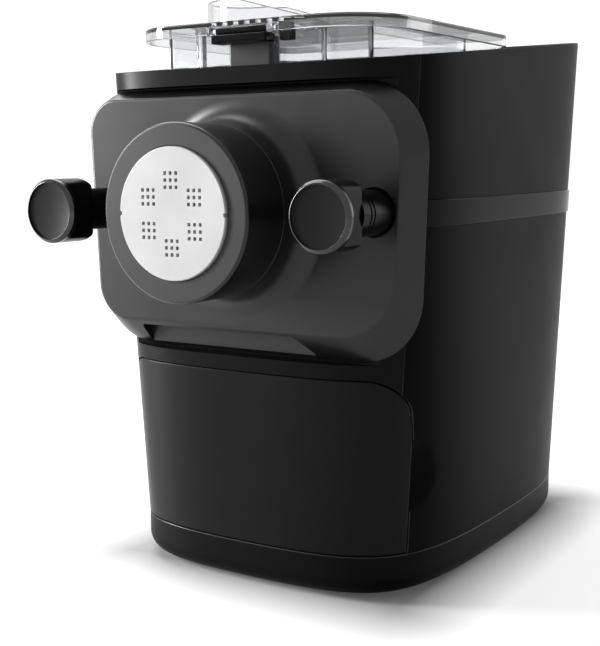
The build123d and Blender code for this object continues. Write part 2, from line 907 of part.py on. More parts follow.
def panel_loft(inset, front, back):
    """Solid inside the panel's outer faces, drawn in by inset."""
    with BuildPart() as solid:
        loft([
            panel_outline(
                facing(front),
                panel_face_half_top - inset,
                panel_face_half_bottom - inset,
                panel_face_top - inset,
                panel_face_bottom - inset,
                panel_face_corner - inset,
            ),
            panel_outline(
                facing(back),
                panel_back_half_top - inset,
                panel_back_half_bottom - inset,
                panel_back_top - inset,
                panel_back_bottom - inset,
                panel_back_corner - inset,
            ),
        ])
    return solid.part


def grip_outline(plane, edge):
    """Finger grip in the lower edge of the panel, grown by edge."""
    with BuildSketch(plane) as outline:
        with Locations(((grip_left + grip_right) / 2, axis_height - (grip_low + grip_high) / 2)):
            RectangleRounded(grip_right - grip_left + 2 * edge, grip_low - grip_high + 2 * edge, grip_corner)
    return outline.sketch


with BuildPart() as panel_bracing:
    extrude(grip_outline(facing(panel_back_y), wall), amount=wide)
    for x in stud_sides:
        rod(recess_radius + recess_wall, panel_face_y, boss_floor_y + wall, x)
    add(panel_loft(fit, panel_face_y, panel_back_y), mode=Mode.INTERSECT)

with BuildPart() as front_panel:
    add(panel_loft(0, panel_face_y, panel_back_y))
    add(panel_loft(panel_skin, panel_face_y + panel_skin, panel_back_y), mode=Mode.SUBTRACT)
    add(panel_bracing.part)
    with BuildSketch(Plane.YZ):
        with BuildLine():
            flare_start = (panel_face_y - flare_radius, axis_height + ring_radius)
            flare_end = (panel_face_y, axis_height + ring_radius + flare_radius)
            Line((boss_front_y, axis_height + ring_bore_radius), (boss_front_y, axis_height + ring_radius))
            Line((boss_front_y, axis_height + ring_radius), flare_start)
            RadiusArc(flare_start, flare_end, -flare_radius)
            Line(flare_end, (panel_face_y + panel_skin, axis_height + ring_radius + flare_radius))
            Line(
                (panel_face_y + panel_skin, axis_height + ring_radius + flare_radius),
                (panel_face_y + panel_skin, axis_height + ring_bore_radius),
            )
            Line(
                (panel_face_y + panel_skin, axis_height + ring_bore_radius),
                (boss_front_y, axis_height + ring_bore_radius),
            )
        make_face()
    revolve(axis=Axis((0, 0, axis_height), (0, 1, 0)))
    rod(ring_bore_radius, boss_front_y, panel_back_y, mode=Mode.SUBTRACT)
    for x in stud_sides:
        rod(recess_radius, -wide, boss_floor_y, x, mode=Mode.SUBTRACT)
        rod(knob_shaft_radius + running, -wide, 0, x, mode=Mode.SUBTRACT)
    extrude(grip_outline(facing(panel_face_y + grip_depth), 0), amount=wide, mode=Mode.SUBTRACT)
keep(front_panel, "front_panel")

with BuildPart() as nose_ring:
    rod(ring_radius, ring_face_y, boss_front_y)
    rod(ring_bore_radius, ring_face_y + ring_lip, boss_front_y, mode=Mode.SUBTRACT)
    rod(disc_opening_radius, ring_face_y, boss_front_y, mode=Mode.SUBTRACT)
    chamfer(nose_ring.edges().group_by(Axis.Y)[0], ring_chamfer)
keep(nose_ring, "nose_ring")

disc_step_y = front_y + disc_face_depth
disc_back_y = disc_step_y + disc_flange_depth
with BuildPart() as shaping_disc:
    rod(disc_face_radius, front_y, disc_step_y)
    rod(disc_flange_radius, disc_step_y, disc_back_y)
    with BuildSketch(facing(disc_back_y)):
        with Locations((0, axis_height)):
            with PolarLocations(hole_group_radius, 6, start_angle=90, rotate=False):
                with GridLocations(hole_pitch, hole_pitch, 3, 3):
                    Rectangle(hole_size, hole_size)
    extrude(amount=wide, mode=Mode.SUBTRACT)
    with BuildSketch(facing(disc_step_y)):
        with Locations((0, axis_height)):
            with PolarLocations(disc_face_radius, 2):
                Circle(disc_notch_radius)
    extrude(amount=wide, mode=Mode.SUBTRACT)
keep(shaping_disc, "shaping_disc")

tube_back_y = chamber_front_y
funnel_back_y = disc_back_y + funnel_length
with BuildPart() as extrusion_tube:
    with BuildSketch(Plane.YZ):
        Polygon(
            (disc_back_y, axis_height + disc_flange_radius),
            (funnel_back_y, axis_height + tube_outer_radius),
            (tube_back_y, axis_height + tube_outer_radius),
            (tube_back_y, axis_height + tube_inner_radius),
            (funnel_back_y, axis_height + tube_inner_radius),
            (disc_back_y, axis_height + disc_flange_radius - tube_wall),
            align=None,
        )
    revolve(axis=Axis((0, 0, axis_height), (0, 1, 0)))
keep(extrusion_tube, "extrusion_tube")

with BuildPart() as tube_seal:
    rod(tube_outer_radius + seal_width, tube_back_y - seal_depth, tube_back_y)
    rod(tube_outer_radius + running, tube_back_y - seal_depth, tube_back_y, mode=Mode.SUBTRACT)
keep(tube_seal, "tube_seal")

# ---------------------------------------------------------------- knobs
ring_back_y = knob_front_y + knob_ring_depth
cap_rear_y = knob_front_y + knob_cap_length
head_rear_y = knob_front_y + knob_length
neck_back_y = head_rear_y + knob_neck_length
core_front_y = knob_front_y + knob_core_front
dish_radius = (knob_face_radius**2 + knob_dish**2) / (2 * knob_dish)
for x, name in zip(stud_sides, ("knob_left", "knob_right")):
    with BuildPart() as knob_body:
        rod(knob_radius, cap_rear_y, head_rear_y, x)
        block(
            (x - knob_flat, cap_rear_y, axis_height - knob_radius),
            (x + knob_flat, head_rear_y, axis_height + knob_radius),
            Mode.INTERSECT,
        )
        rod(knob_radius, ring_back_y, cap_rear_y, x)
        rod(knob_neck_radius, head_rear_y, neck_back_y, x)
        rod(knob_shaft_radius, neck_back_y, flange_front_y, x)
        for y in (head_rear_y + 6 * knob_groove, head_rear_y + 9 * knob_groove):
            rod(knob_neck_radius, y, y + knob_groove, x, mode=Mode.SUBTRACT)
            rod(knob_neck_radius - knob_groove, y, y + knob_groove, x)
        rod(knob_core_radius + running, core_front_y, flange_front_y, x, mode=Mode.SUBTRACT)
    keep(knob_body, name + "_body")

    with BuildPart() as knob_ring:
        rod(knob_radius, knob_front_y, ring_back_y, x)
        rod(knob_face_radius, knob_front_y, ring_back_y, x, mode=Mode.SUBTRACT)
        chamfer(knob_ring.edges().group_by(Axis.Y)[0].sort_by(SortBy.RADIUS)[-1], knob_bevel)
    keep(knob_ring, name + "_ring")

    with BuildPart() as knob_face:
        rod(knob_face_radius - running, ring_back_y - knob_face_depth, ring_back_y, x)
        with Locations((x, ring_back_y - knob_face_depth + knob_dish - dish_radius, axis_height)):
            Sphere(dish_radius, mode=Mode.SUBTRACT)
    keep(knob_face, name + "_face")

    with BuildPart() as knob_core:
        rod(knob_core_radius, core_front_y, flange_front_y, x)
        rod(knob_flange_radius, flange_front_y, flange_back_y, x)
        rod(stud_radius + running, core_front_y, flange_back_y, x, mode=Mode.SUBTRACT)
    keep(knob_core, name + "_core")

# ---------------------------------------------------------------- drawer
runner_top = runner_low + runner_height
box_low = runner_top + runner_clearance
box_floor = box_low + drawer_box_wall
box_high = box_low + drawer_box_height
with BuildPart() as drawer_front:
    add(housing_outer)
    add(housing_loft(drawer_front_wall), mode=Mode.SUBTRACT)
    extrude(drawer_outline(facing(drawer_edge_y), 0), amount=wide, mode=Mode.INTERSECT)
    with BuildPart(mode=Mode.PRIVATE) as drawer_ribs:
        for side in (-1, 1):
            middle = side * rib_spacing / 2
            block(
                (middle - rib_thickness / 2, -wide, box_low),
                (middle + rib_thickness / 2, box_front_y, box_high),
            )
        add(housing_loft(drawer_front_wall - fit), mode=Mode.INTERSECT)
    add(drawer_ribs.part)
    block((-wide, -wide, 0), (wide, 0, seam_height + seam), Mode.SUBTRACT)
keep(drawer_front, "drawer_front")

with BuildPart() as drawer_box:
    block((-drawer_box_half_width, box_front_y, box_low), (drawer_box_half_width, box_back_y, box_high))
    block(
        (-drawer_box_half_width + drawer_box_wall, box_front_y + drawer_box_wall, box_floor),
        (drawer_box_half_width - drawer_box_wall, box_back_y - drawer_box_wall, box_high),
        Mode.SUBTRACT,
    )
keep(drawer_box, "drawer_box")

stored_mid_y = (box_front_y + box_back_y) / 2
stored_height = box_floor + rack_thickness + fit + disc_flange_radius
rack_step = rack_thickness + stored_disc_thickness + 2 * fit
rack_left = -drawer_box_half_width + drawer_box_wall + rack_margin
rack_length = 2 * disc_flange_radius
with BuildPart() as disc_rack:
    block(
        (rack_left, stored_mid_y - rack_length / 2, box_floor),
        (
            rack_left + stored_disc_count * rack_step + rack_thickness,
            stored_mid_y + rack_length / 2,
            box_floor + rack_thickness,
        ),
    )
    for number in range(stored_disc_count + 1):
        left = rack_left + number * rack_step
        block(
            (left, stored_mid_y - rack_length / 2, box_floor),
            (left + rack_thickness, stored_mid_y + rack_length / 2, box_floor + rack_height),
        )
keep(disc_rack, "disc_rack")

with BuildPart() as stored_discs:
    for number in range(stored_disc_count):
        left = rack_left + rack_thickness + fit + number * rack_step
        with BuildSketch(Plane((left, stored_mid_y, stored_height), x_dir=(0, 1, 0), z_dir=(1, 0, 0))):
            Circle(disc_flange_radius)
        extrude(amount=stored_disc_step)
        with BuildSketch(Plane((left, stored_mid_y, stored_height), x_dir=(0, 1, 0), z_dir=(1, 0, 0))):
            Circle(disc_face_radius)
        extrude(amount=stored_disc_thickness)
        with BuildSketch(Plane((left, stored_mid_y, stored_height), x_dir=(0, 1, 0), z_dir=(1, 0, 0))):
            with GridLocations(1, 3 * stored_slot_width, 1, number + 1):
                SlotOverall(stored_slot_length, stored_slot_width)
        extrude(amount=stored_disc_thickness, mode=Mode.SUBTRACT)
keep(stored_discs, "stored_discs")

with BuildPart() as cleaning_tool:
    with BuildSketch(Plane((tool_x, stored_mid_y, box_floor))):
        SlotOverall(tool_length, tool_width, rotation=90)
        with Locations((0, tool_length / 2 - tool_width / 2)):
            Circle(tool_width / 5, mode=Mode.SUBTRACT)
    extrude(amount=tool_thickness)
keep(cleaning_tool, "cleaning_tool")

with BuildPart() as drawer_runners:
    for side in (-1, 1):
        inner = side * (drawer_box_half_width - runner_width)
        outer = side * (drawer_box_half_width + runner_clearance + runner_lip)
        lip = side * (drawer_box_half_width + runner_clearance)
        block(
            (min(inner, outer), drawer_edge_y + runner_lip, runner_low),
            (max(inner, outer), box_back_y, runner_top),
        )
        block(
            (min(lip, outer), drawer_edge_y + runner_lip, runner_low),
            (max(lip, outer), box_back_y, runner_top + runner_lip_height),
        )
        block(
            (min(inner, outer), housing_front_y + foot_front + cell_length / 2 + 2, tray_floor),
            (max(inner, outer), box_back_y, runner_low),
        )
keep(drawer_runners, "drawer_runners")

# ---------------------------------------------------------------- mixing chamber
bay_front_y = chamber_front_y - bay_depth
bay_low = chamber_top - bay_height
chamber_mid_y = (chamber_front_y + chamber_back_y) / 2
with BuildPart() as mixing_chamber:
    extrude(chamber_profile(facing(chamber_front_y), 0), amount=-chamber_length)
    with BuildSketch(Plane((0, chamber_mid_y, 0))):
        RectangleRounded(2 * chamber_half_width, chamber_length, deck_corner - deck_gap)
    extrude(amount=wide, mode=Mode.INTERSECT)
    block((-bay_half_width, bay_front_y, bay_low), (bay_half_width, chamber_mid_y, chamber_top))
    with BuildPart(mode=Mode.PRIVATE) as chamber_hollow:
        extrude(
            chamber_profile(facing(chamber_front_y + chamber_wall), chamber_wall),
            amount=-chamber_length + 2 * chamber_wall,
        )
        with BuildSketch(Plane((0, chamber_mid_y, 0))):
            RectangleRounded(
                2 * (chamber_half_width - chamber_wall),
                chamber_length - 2 * chamber_wall,
                deck_corner - deck_gap - chamber_wall,
            )
        extrude(amount=wide, mode=Mode.INTERSECT)
        block(
            (-bay_half_width + chamber_wall, bay_front_y + chamber_wall, bay_low + chamber_wall),
            (bay_half_width - chamber_wall, chamber_mid_y, chamber_top),
        )
    add(chamber_hollow.part, mode=Mode.SUBTRACT)
    rod(tube_inner_radius, chamber_front_y, chamber_front_y + chamber_wall, mode=Mode.SUBTRACT)
    rod(seal_radius + running, chamber_back_y - chamber_wall, chamber_back_y, mode=Mode.SUBTRACT)
keep(mixing_chamber, "mixing_chamber")

with BuildPart() as shaft_seal:
    rod(seal_radius, chamber_back_y - chamber_wall, chamber_back_y)
    rod(seal_flange_radius, chamber_back_y, chamber_back_y + seal_flange_thickness)
    rod(output_shaft_radius + running, -wide, wide, mode=Mode.SUBTRACT)
keep(shaft_seal, "shaft_seal")

with BuildPart() as latch_post:
    block((-post_half_width, bay_front_y - post_depth, 0), (post_half_width, bay_front_y, post_top))
    with BuildSketch(deck_top):
        Rectangle(2 * wide, 3 * wide)
    extrude(amount=-wide, mode=Mode.SUBTRACT)
    fillet(latch_post.edges().filter_by(Axis.Z).group_by(Axis.Y)[0], 2)
keep(latch_post, "latch_post")

# ---------------------------------------------------------------- lid and latch
latch_pin_y = lid_front_y + latch_pin_set
inlet_y = lid_front_y + inlet_middle
lid_under = lid_high - lid_wall
latch_top = latch_pin_height - latch_barrel_radius + fit
notch_half = latch_half_width + 3 * fit


def lid_outline(inset):
    """Lid seen from above, rounder at the front, drawn in by inset."""
    with BuildSketch() as outline:
        Polygon(
            (-lid_half_width + inset, lid_front_y + inset),
            (lid_half_width - inset, lid_front_y + inset),
            (lid_half_width - inset, lid_back_y - inset),
            (-lid_half_width + inset, lid_back_y - inset),
            align=None,
        )
        fillet(outline.vertices().group_by(Axis.Y)[0], lid_front_corner - inset)
        fillet(outline.vertices().group_by(Axis.Y)[-1], lid_back_corner - inset)
    return outline.sketch


with BuildPart() as inlet_wall_solid:
    with BuildSketch(Plane((0, inlet_y, lid_under))):
        Ellipse(inlet_half_width, inlet_half_depth)
        Ellipse(inlet_half_width - inlet_wall, inlet_half_depth - inlet_wall, mode=Mode.SUBTRACT)
    extrude(amount=lid_wall + inlet_height)
    tilted = Plane(
        (inlet_level_x, 0, lid_high + inlet_height),
        x_dir=(0, 1, 0),
        z_dir=(sin(radians(inlet_tilt)), 0, cos(radians(inlet_tilt))),
    )
    with BuildSketch(tilted):
        with Locations((0, -wide / 2)):
            Rectangle(2 * wide, wide)
    extrude(amount=wide, mode=Mode.SUBTRACT)

with BuildPart() as lid:
    extrude(lid_outline(0).moved(Location((0, 0, lid_low))), amount=lid_high - lid_low)
    fillet(lid.edges().group_by(Axis.Z)[-1], 1)
    extrude(lid_outline(lid_wall).moved(Location((0, 0, lid_low))), amount=lid_under - lid_low, mode=Mode.SUBTRACT)
    block((-notch_half, lid_front_y, lid_low), (notch_half, latch_pin_y, lid_under - fit), Mode.SUBTRACT)
    add(inlet_wall_solid.part)
    with BuildSketch(Plane((0, inlet_y, 0))):
        with GridLocations(slot_pitch, 1, slot_count, 1):
            SlotOverall(slot_length, slot_width, rotation=90)
    extrude(amount=wide, mode=Mode.SUBTRACT)
    for side in (-1, 1):
        near = side * notch_half
        far = side * (notch_half + ear_thickness)
        block(
            (min(near, far), lid_front_y + fit, latch_pin_height - latch_barrel_radius),
            (max(near, far), latch_pin_y + latch_barrel_radius, lid_under),
        )
    with Locations(Location((0, latch_pin_y, latch_pin_height), (0, 90, 0))):
        Cylinder(latch_pin_radius + running, 2 * (notch_half + ear_thickness), mode=Mode.SUBTRACT)
keep(lid, "lid")

with BuildPart() as lid_switch_tab:
    block(
        (tab_x - tab_width / 2, lid_front_y + tab_set, tab_low),
        (tab_x + tab_width / 2, lid_front_y + tab_set + tab_depth, lid_under),
    )
keep(lid_switch_tab, "lid_switch_tab")

with BuildPart() as latch_pin:
    with Locations(Location((0, latch_pin_y, latch_pin_height), (0, 90, 0))):
        Cylinder(latch_pin_radius, 2 * (notch_half + ear_thickness))
keep(latch_pin, "latch_pin")

with BuildPart() as lid_latch:
    block(
        (-latch_half_width, lid_front_y, latch_pin_height - latch_drop),
        (latch_half_width, lid_front_y + latch_depth, latch_top),
    )
    with Locations(Location((0, latch_pin_y, latch_pin_height), (0, 90, 0))):
        Cylinder(latch_barrel_radius, 2 * latch_half_width)
        Cylinder(latch_pin_radius + running, 2 * latch_half_width, mode=Mode.SUBTRACT)
keep(lid_latch, "lid_latch")

# ---------------------------------------------------------------- kneading screw and its shaft
hub_back_y = chamber_back_y - chamber_wall - 4 * fit
hub_front_y = hub_back_y - hub_length
screw_tip_y = disc_back_y + screw_tip_gap
flight_front_y = screw_tip_y + flight_start
hex_radius = hex_across / 2 / cos(radians(30))
paddle_pitch = (chamber_length - 2 * paddle_margin - paddle_blade / 2) / (paddle_count - 1)
with BuildPart() as output_shaft:
    rod(output_shaft_radius, hub_back_y, cover_back_y)
    with BuildSketch(facing(hub_back_y)):
        with Locations((0, axis_height)):
            RegularPolygon(hex_radius, 6)
    extrude(amount=hub_length * 2 / 3)
keep(output_shaft, "output_shaft")

with BuildPart() as screw_flight:
    with BuildLine() as flight_path:
        Helix(
            flight_pitch,
            chamber_front_y - flight_front_y,
            (flight_radius + screw_core_radius) / 2,
            center=(0, flight_front_y, axis_height),
            direction=(0, 1, 0),
        )
    flight_line = flight_path.line
    with BuildSketch(Plane(flight_line @ 0, x_dir=(0, 0, 1), z_dir=flight_line % 0)):
        with Locations((-flight_root / 2, 0)):
            Rectangle(flight_radius - screw_core_radius + flight_root, flight_thickness)
    sweep(is_frenet=True)

with BuildPart() as kneading_screw:
    rod(screw_core_radius, screw_tip_y, hub_front_y)
    rod(hub_radius, hub_front_y, hub_back_y)
    for number in range(paddle_count):
        paddle_y = chamber_front_y + paddle_margin + number * paddle_pitch
        turn = radians(90 * number)
        turned = Plane((0, paddle_y, axis_height), x_dir=(cos(turn), 0, sin(turn)), z_dir=(0, 1, 0))
        with BuildSketch(turned.offset(-paddle_thickness / 2)):
            with Locations((paddle_radius / 2, 0)):
                Rectangle(paddle_radius, paddle_width)
        extrude(amount=paddle_thickness)
        with BuildSketch(turned.offset(-paddle_blade / 2)):
            with Locations((paddle_radius - paddle_blade_thickness / 2, 0)):
                Rectangle(paddle_blade_thickness, paddle_width)
        extrude(amount=paddle_blade)
    rod(paddle_radius, -wide, wide, mode=Mode.INTERSECT)
    add(screw_flight.part)
    with BuildSketch(facing(hub_back_y)):
        with Locations((0, axis_height)):
            RegularPolygon(hex_radius + running, 6)
    extrude(amount=hub_length * 2 / 3 + fit, mode=Mode.SUBTRACT)
keep(kneading_screw, "kneading_screw")

# ---------------------------------------------------------------- electrics
board_back_y = board_front_y + board_thickness
with BuildPart() as main_board:
    block((-board_half_width, board_front_y, board_low), (board_half_width, board_back_y, board_high))
    for x, z in board_holes:
        rod(screw_radius, board_front_y, board_back_y, x, z, Mode.SUBTRACT)
keep(main_board, "main_board")

with BuildPart() as board_parts:
    for x, rise, width, height, depth in board_layout:
        middle = board_mid + rise
        block(
            (x - width / 2, board_back_y, middle - height / 2),
            (x + width / 2, board_back_y + depth, middle + height / 2),
        )
    for x in capacitor_places:
        rod(capacitor_radius, board_back_y, board_back_y + capacitor_length, x, board_mid + capacitor_height)
keep(board_parts, "board_parts")


def port_insert(x, width, height, depth, plan_wall):
    """Flanged box through the port floor, open to the back."""
    with BuildPart() as insert:
        block(
            (x - width / 2, port_floor_y - depth, port_mid - height / 2),
            (x + width / 2, port_floor_y, port_mid + height / 2),
        )
        block(
            (x - width / 2 - port_flange_edge, port_floor_y, port_mid - height / 2 - port_flange_edge),
            (x + width / 2 + port_flange_edge, port_floor_y + port_flange, port_mid + height / 2 + port_flange_edge),
        )
        block(
            (x - width / 2 + plan_wall, port_floor_y - depth + plan_wall, port_mid - height / 2 + plan_wall),
            (x + width / 2 - plan_wall, rear_y, port_mid + height / 2 - plan_wall),
            Mode.SUBTRACT,
        )
    return insert.part


with BuildPart() as power_inlet:
    add(port_insert(-port_offset, inlet_socket_width, inlet_socket_height, socket_depth, socket_wall))
keep(power_inlet, "power_inlet")

with BuildPart() as inlet_pins:
    socket_floor_y = port_floor_y - socket_depth + socket_wall
    for step in (-1, 0, 1):
        with Locations((-port_offset + step * pin_pitch, socket_floor_y, port_mid + 2 - 4 * abs(step))):
            Box(pin_thickness, pin_length, pin_width, align=(Align.CENTER, Align.MIN, Align.CENTER))
keep(inlet_pins, "inlet_pins")

rocker_pivot_y = port_floor_y - rocker_pivot_set
with BuildPart() as rocker_frame:
    add(port_insert(port_offset, switch_width, switch_height, switch_depth, switch_wall))
    with Locations(Location((port_offset, rocker_pivot_y, port_mid), (0, 90, 0))):
        Cylinder(rocker_pivot_radius + running, switch_width, mode=Mode.SUBTRACT)
keep(rocker_frame, "rocker_frame")

with BuildPart() as power_rocker:
    half_throw = radians(rocker_throw / 2)
    end_rise = rocker_reach + rocker_height / 2 * tan(half_throw)
    tipped = Plane(
        (port_offset - rocker_width / 2, rocker_pivot_y, port_mid),
        x_dir=(0, cos(half_throw), -sin(half_throw)),
        z_dir=(1, 0, 0),
    )
    with BuildSketch(tipped):
        Polygon(
            (-rocker_reach, -2),
            (0, -rocker_height / 2),
            (end_rise, -rocker_height / 2),
            (rocker_reach, 0),
            (end_rise, rocker_height / 2),
            (0, rocker_height / 2),
            (-rocker_reach, 2),
            align=None,
        )
    extrude(amount=rocker_width)
    with Locations(Location((port_offset, rocker_pivot_y, port_mid), (0, 90, 0))):
        Cylinder(rocker_pivot_radius, switch_width - switch_wall)
keep(power_rocker, "power_rocker")
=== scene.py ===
import json
import math

import bmesh
import bpy
import numpy as np
from mathutils import Matrix, Vector
from mathutils.geometry import tessellate_polygon


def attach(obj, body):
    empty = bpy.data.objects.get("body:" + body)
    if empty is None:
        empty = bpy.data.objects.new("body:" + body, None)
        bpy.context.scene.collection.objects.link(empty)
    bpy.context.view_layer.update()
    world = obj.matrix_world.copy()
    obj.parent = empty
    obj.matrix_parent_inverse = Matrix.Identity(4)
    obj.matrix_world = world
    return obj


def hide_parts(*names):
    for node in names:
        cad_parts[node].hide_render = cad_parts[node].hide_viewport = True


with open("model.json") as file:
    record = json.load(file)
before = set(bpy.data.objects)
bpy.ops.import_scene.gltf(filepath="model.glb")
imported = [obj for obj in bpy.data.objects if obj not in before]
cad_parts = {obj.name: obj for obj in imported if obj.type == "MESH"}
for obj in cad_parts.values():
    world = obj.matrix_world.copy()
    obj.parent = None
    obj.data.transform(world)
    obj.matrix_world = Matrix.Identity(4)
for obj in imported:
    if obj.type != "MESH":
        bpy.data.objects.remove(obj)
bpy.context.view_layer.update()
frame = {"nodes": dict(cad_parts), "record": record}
nodes = frame["nodes"]
print("frame loaded:", len(nodes), "nodes")

# materials: all patterns read Object coordinates, in metres


def newMaterial(name):
    # an empty material and its node tree
    material = bpy.data.materials.new(name)
    material.use_nodes = True
    material.node_tree.nodes.clear()
    return material, material.node_tree


def addNodes(tree, *kinds):
    # one shader node for each kind, in their order
    return [tree.nodes.new("ShaderNode" + kind) for kind in kinds]


def setInputs(node, values):
    # each named input gets its value
    for name, value in values.items():
        node.inputs[name].default_value = value


def wire(tree, *links):
    # each link joins an output of one node to an input of another
    for source, output, target, into in links:
        tree.links.new(source.outputs[output], target.inputs[into])


def noiseAt(tree, coords, scale, detail, stretch=(1, 1, 1)):
    # noise over the point times stretch
    mapping, noise = addNodes(tree, "Mapping", "TexNoise")
    setInputs(mapping, {"Scale": stretch})
    setInputs(noise, {"Scale": scale, "Detail": detail})
    wire(tree, (coords, "Object", mapping, "Vector"), (mapping, "Vector", noise, "Vector"))
    return noise


def bumpFrom(tree, noise, shader, strengths):
    # the noise is the height of the shader's bump
    bump = addNodes(tree, "Bump")[0]
    setInputs(bump, strengths)
    wire(tree, (noise, "Fac", bump, "Height"), (bump, "Normal", shader, "Normal"))


plainLook = dict(
    metal=0.0, ior=1.5, shine=0.5, coat=0.0, coatRoughness=0.08, broadScale=26.0, wander=0.06,
    roughnessWander=0.025, stretch=(1, 1, 1), bumpDepth=0.0002,
)


def surfaceMaterial(name, look):
    # a broad noise moves the colour from c (1 - wander) to c (1 + wander) and the roughness by its own wander; a
    # fine noise, stretched for brushed metal, lifts the bump
    look = {**plainLook, **look}
    material, tree = newMaterial(name)
    coords, shader, output, tint, rough = addNodes(
        tree, "TexCoord", "BsdfPrincipled", "OutputMaterial", "ValToRGB", "MapRange"
    )
    setInputs(shader, {
        "Metallic": look["metal"], "IOR": look["ior"], "Specular IOR Level": look["shine"],
        "Coat Weight": look["coat"], "Coat Roughness": look["coatRoughness"],
    })
    broad = noiseAt(tree, coords, look["broadScale"], 3.0)
    fine = noiseAt(tree, coords, look["fineScale"], 2.0, look["stretch"])
    lowShare, highShare = 0.3, 0.7  # the part of the broad noise that is used
    for element, place, sign in zip(tint.color_ramp.elements, (lowShare, highShare), (-1, 1)):
        element.position = place
        element.color = (*(min(1.0, c * (1 + sign * look["wander"])) for c in look["colour"]), 1)
    smooth, dull = [look["roughness"] + sign * look["roughnessWander"] for sign in (-1, 1)]
    setInputs(rough, {"From Min": lowShare, "From Max": highShare, "To Min": smooth, "To Max": dull})
    wire(
        tree, (broad, "Fac", tint, "Fac"), (tint, "Color", shader, "Base Color"),
        (broad, "Fac", rough, "Value"), (rough, "Result", shader, "Roughness"),
    )
    bumpFrom(tree, fine, shader, {"Strength": look["bump"], "Distance": look["bumpDepth"]})
    wire(tree, (shader, "BSDF", output, "Surface"))
    return material


def clearMaterial(name, look):
    # clear moulded plastic: a glass that darkens towards its edges, a painted dark reflection where it is seen
    # edge-on; shadow rays pass tinted
    material, tree = newMaterial(name)
    coords, shader, clear, path, mix, output, facing, tint, rough = addNodes(
        tree, "TexCoord", "BsdfPrincipled", "BsdfTransparent", "LightPath", "MixShader", "OutputMaterial",
        "LayerWeight", "ValToRGB", "MapRange",
    )
    # the ramp from facing to grazing darkens the colour: painted dark reflections at the edges
    for element, (place, shade) in zip(tint.color_ramp.elements, look["tint"]):
        element.position, element.color = place, (*(shade * c for c in look["colour"]), 1)
    setInputs(facing, {"Blend": 0.5})
    setInputs(shader, {"Transmission Weight": 1.0, "IOR": look["ior"]})
    setInputs(clear, {"Color": (*look["shadow"], 1)})
    setInputs(rough, {"To Min": look["roughness"][0], "To Max": look["roughness"][1]})
    waves = noiseAt(tree, coords, look["waveScale"], 1.0)
    wire(
        tree, (facing, "Facing", tint, "Fac"), (tint, "Color", shader, "Base Color"),
        (waves, "Fac", rough, "Value"), (rough, "Result", shader, "Roughness"),
    )
    bumpFrom(tree, waves, shader, {"Strength": look["bump"], "Distance": 0.001})
    wire(
        tree, (path, "Is Shadow Ray", mix, "Fac"), (shader, "BSDF", mix, 1), (clear, "BSDF", mix, 2),
        (mix, "Shader", output, "Surface"),
    )
    return material


def satin(grey, blue, shine, roughness, bump, fineScale=2600, **more):
    # moulded plastic, its red and green alike, with a grain a tenth of a millimetre deep
    grain = dict(bump=bump, fineScale=fineScale, bumpDepth=0.0001)
    return dict(colour=(grey, grey, blue), shine=shine, roughness=roughness, **grain, **more)


def metal(colour, roughness, fineScale, bump, stretch=1, **more):
    # bare metal; its noise runs stretch times as fast along Y
    grain = dict(bump=bump, fineScale=fineScale, stretch=(1, stretch, 1))
    return dict(colour=colour, roughness=roughness, metal=1.0, **grain, **more)


looks = {
    "satinShell": satin(0.003, 0.0031, 0.028, 0.37, 0.05),
    "satinFrame": satin(0.003, 0.0031, 0.06, 0.33, 0.05),
    # painted highlight: a lighter, shinier copy of the black plastic for rounded edges that catch the light
    "paintedEdgeHighlight": satin(0.02, 0.0202, 0.25, 0.3, 0.05, 1800, wander=0.3),
    "satinBody": satin(0.004, 0.0041, 0.09, 0.33, 0.05),
    "satinBase": satin(0.003, 0.0031, 0.05, 0.42, 0.1, 2200),
    "satinPanel": satin(0.008, 0.0082, 0.34, 0.35, 0.06),
    "matteNose": satin(0.012, 0.0123, 0.36, 0.42, 0.04),
    "satinNose": satin(0.007, 0.0072, 0.36, 0.3, 0.03),
    "discResin": satin(0.6, 0.6, 0.5, 0.38, 0.03, 1800),
    "knobDark": satin(0.004, 0.0042, 0.06, 0.24, 0.03),
    "knobFace": satin(0.005, 0.0052, 0.1, 0.34, 0.02),
    # latch post lightened to grey: a painted reflection of the clear plastic in front of it
    "postPaintedLidReflection": satin(0.016, 0.0163, 0.3, 0.36, 0.04),
    "polishedRim": metal((0.05, 0.05, 0.052), 0.16, 900, 0.01),
    "brushedSteel": metal((0.5, 0.5, 0.52), 0.32, 700, 0.12, 14),
    "castAlloy": metal((0.46, 0.47, 0.48), 0.5, 900, 0.25, wander=0.1),
    "turnedBrass": metal((0.6, 0.42, 0.16), 0.28, 900, 0.1, 8),
    "copperWinding": metal((0.5, 0.2, 0.08), 0.36, 600, 0.6, 20),
    "glossBand": dict(colour=(0.002, 0.002, 0.0022), shine=0.05, roughness=0.06, fineScale=500, bump=0.01),
    "softRubber": dict(colour=(0.014, 0.014, 0.014), roughness=0.75, fineScale=1600, bump=0.3),
    "boardGreen": dict(colour=(0.012, 0.09, 0.04), roughness=0.35, fineScale=300, bump=0.2, wander=0.2),
    "whiteResin": dict(colour=(0.72, 0.72, 0.69), roughness=0.42, fineScale=1500, bump=0.05),
    "greyResin": dict(colour=(0.16, 0.165, 0.17), roughness=0.42, fineScale=1500, bump=0.06),
    "controlGlass": dict(colour=(0.004, 0.004, 0.005), roughness=0.04, fineScale=200, bump=0.004, coat=0.6),
}
materials = {name: surfaceMaterial(name, look) for name, look in looks.items()}
# tint pairs a facing share with a brightness; the dark grazing end is painted shade
clearLook = dict(
    colour=(0.97, 0.98, 0.985), tint=((0.55, 0.92), (0.95, 0.25)), shadow=(0.86, 0.87, 0.88), ior=1.5,
    roughness=(0.0, 0.03), waveScale=60.0, bump=0.03,
)
materials["clearPlastic"] = clearMaterial("clearPlastic", clearLook)
# a copy with still darker edges: painted shade for the edge faces of the lid and the chamber
materials["clearPaintedDarkEdge"] = clearMaterial("clearPaintedDarkEdge", dict(clearLook, tint=((0.1, 0.4), (0.9, 0.08))))

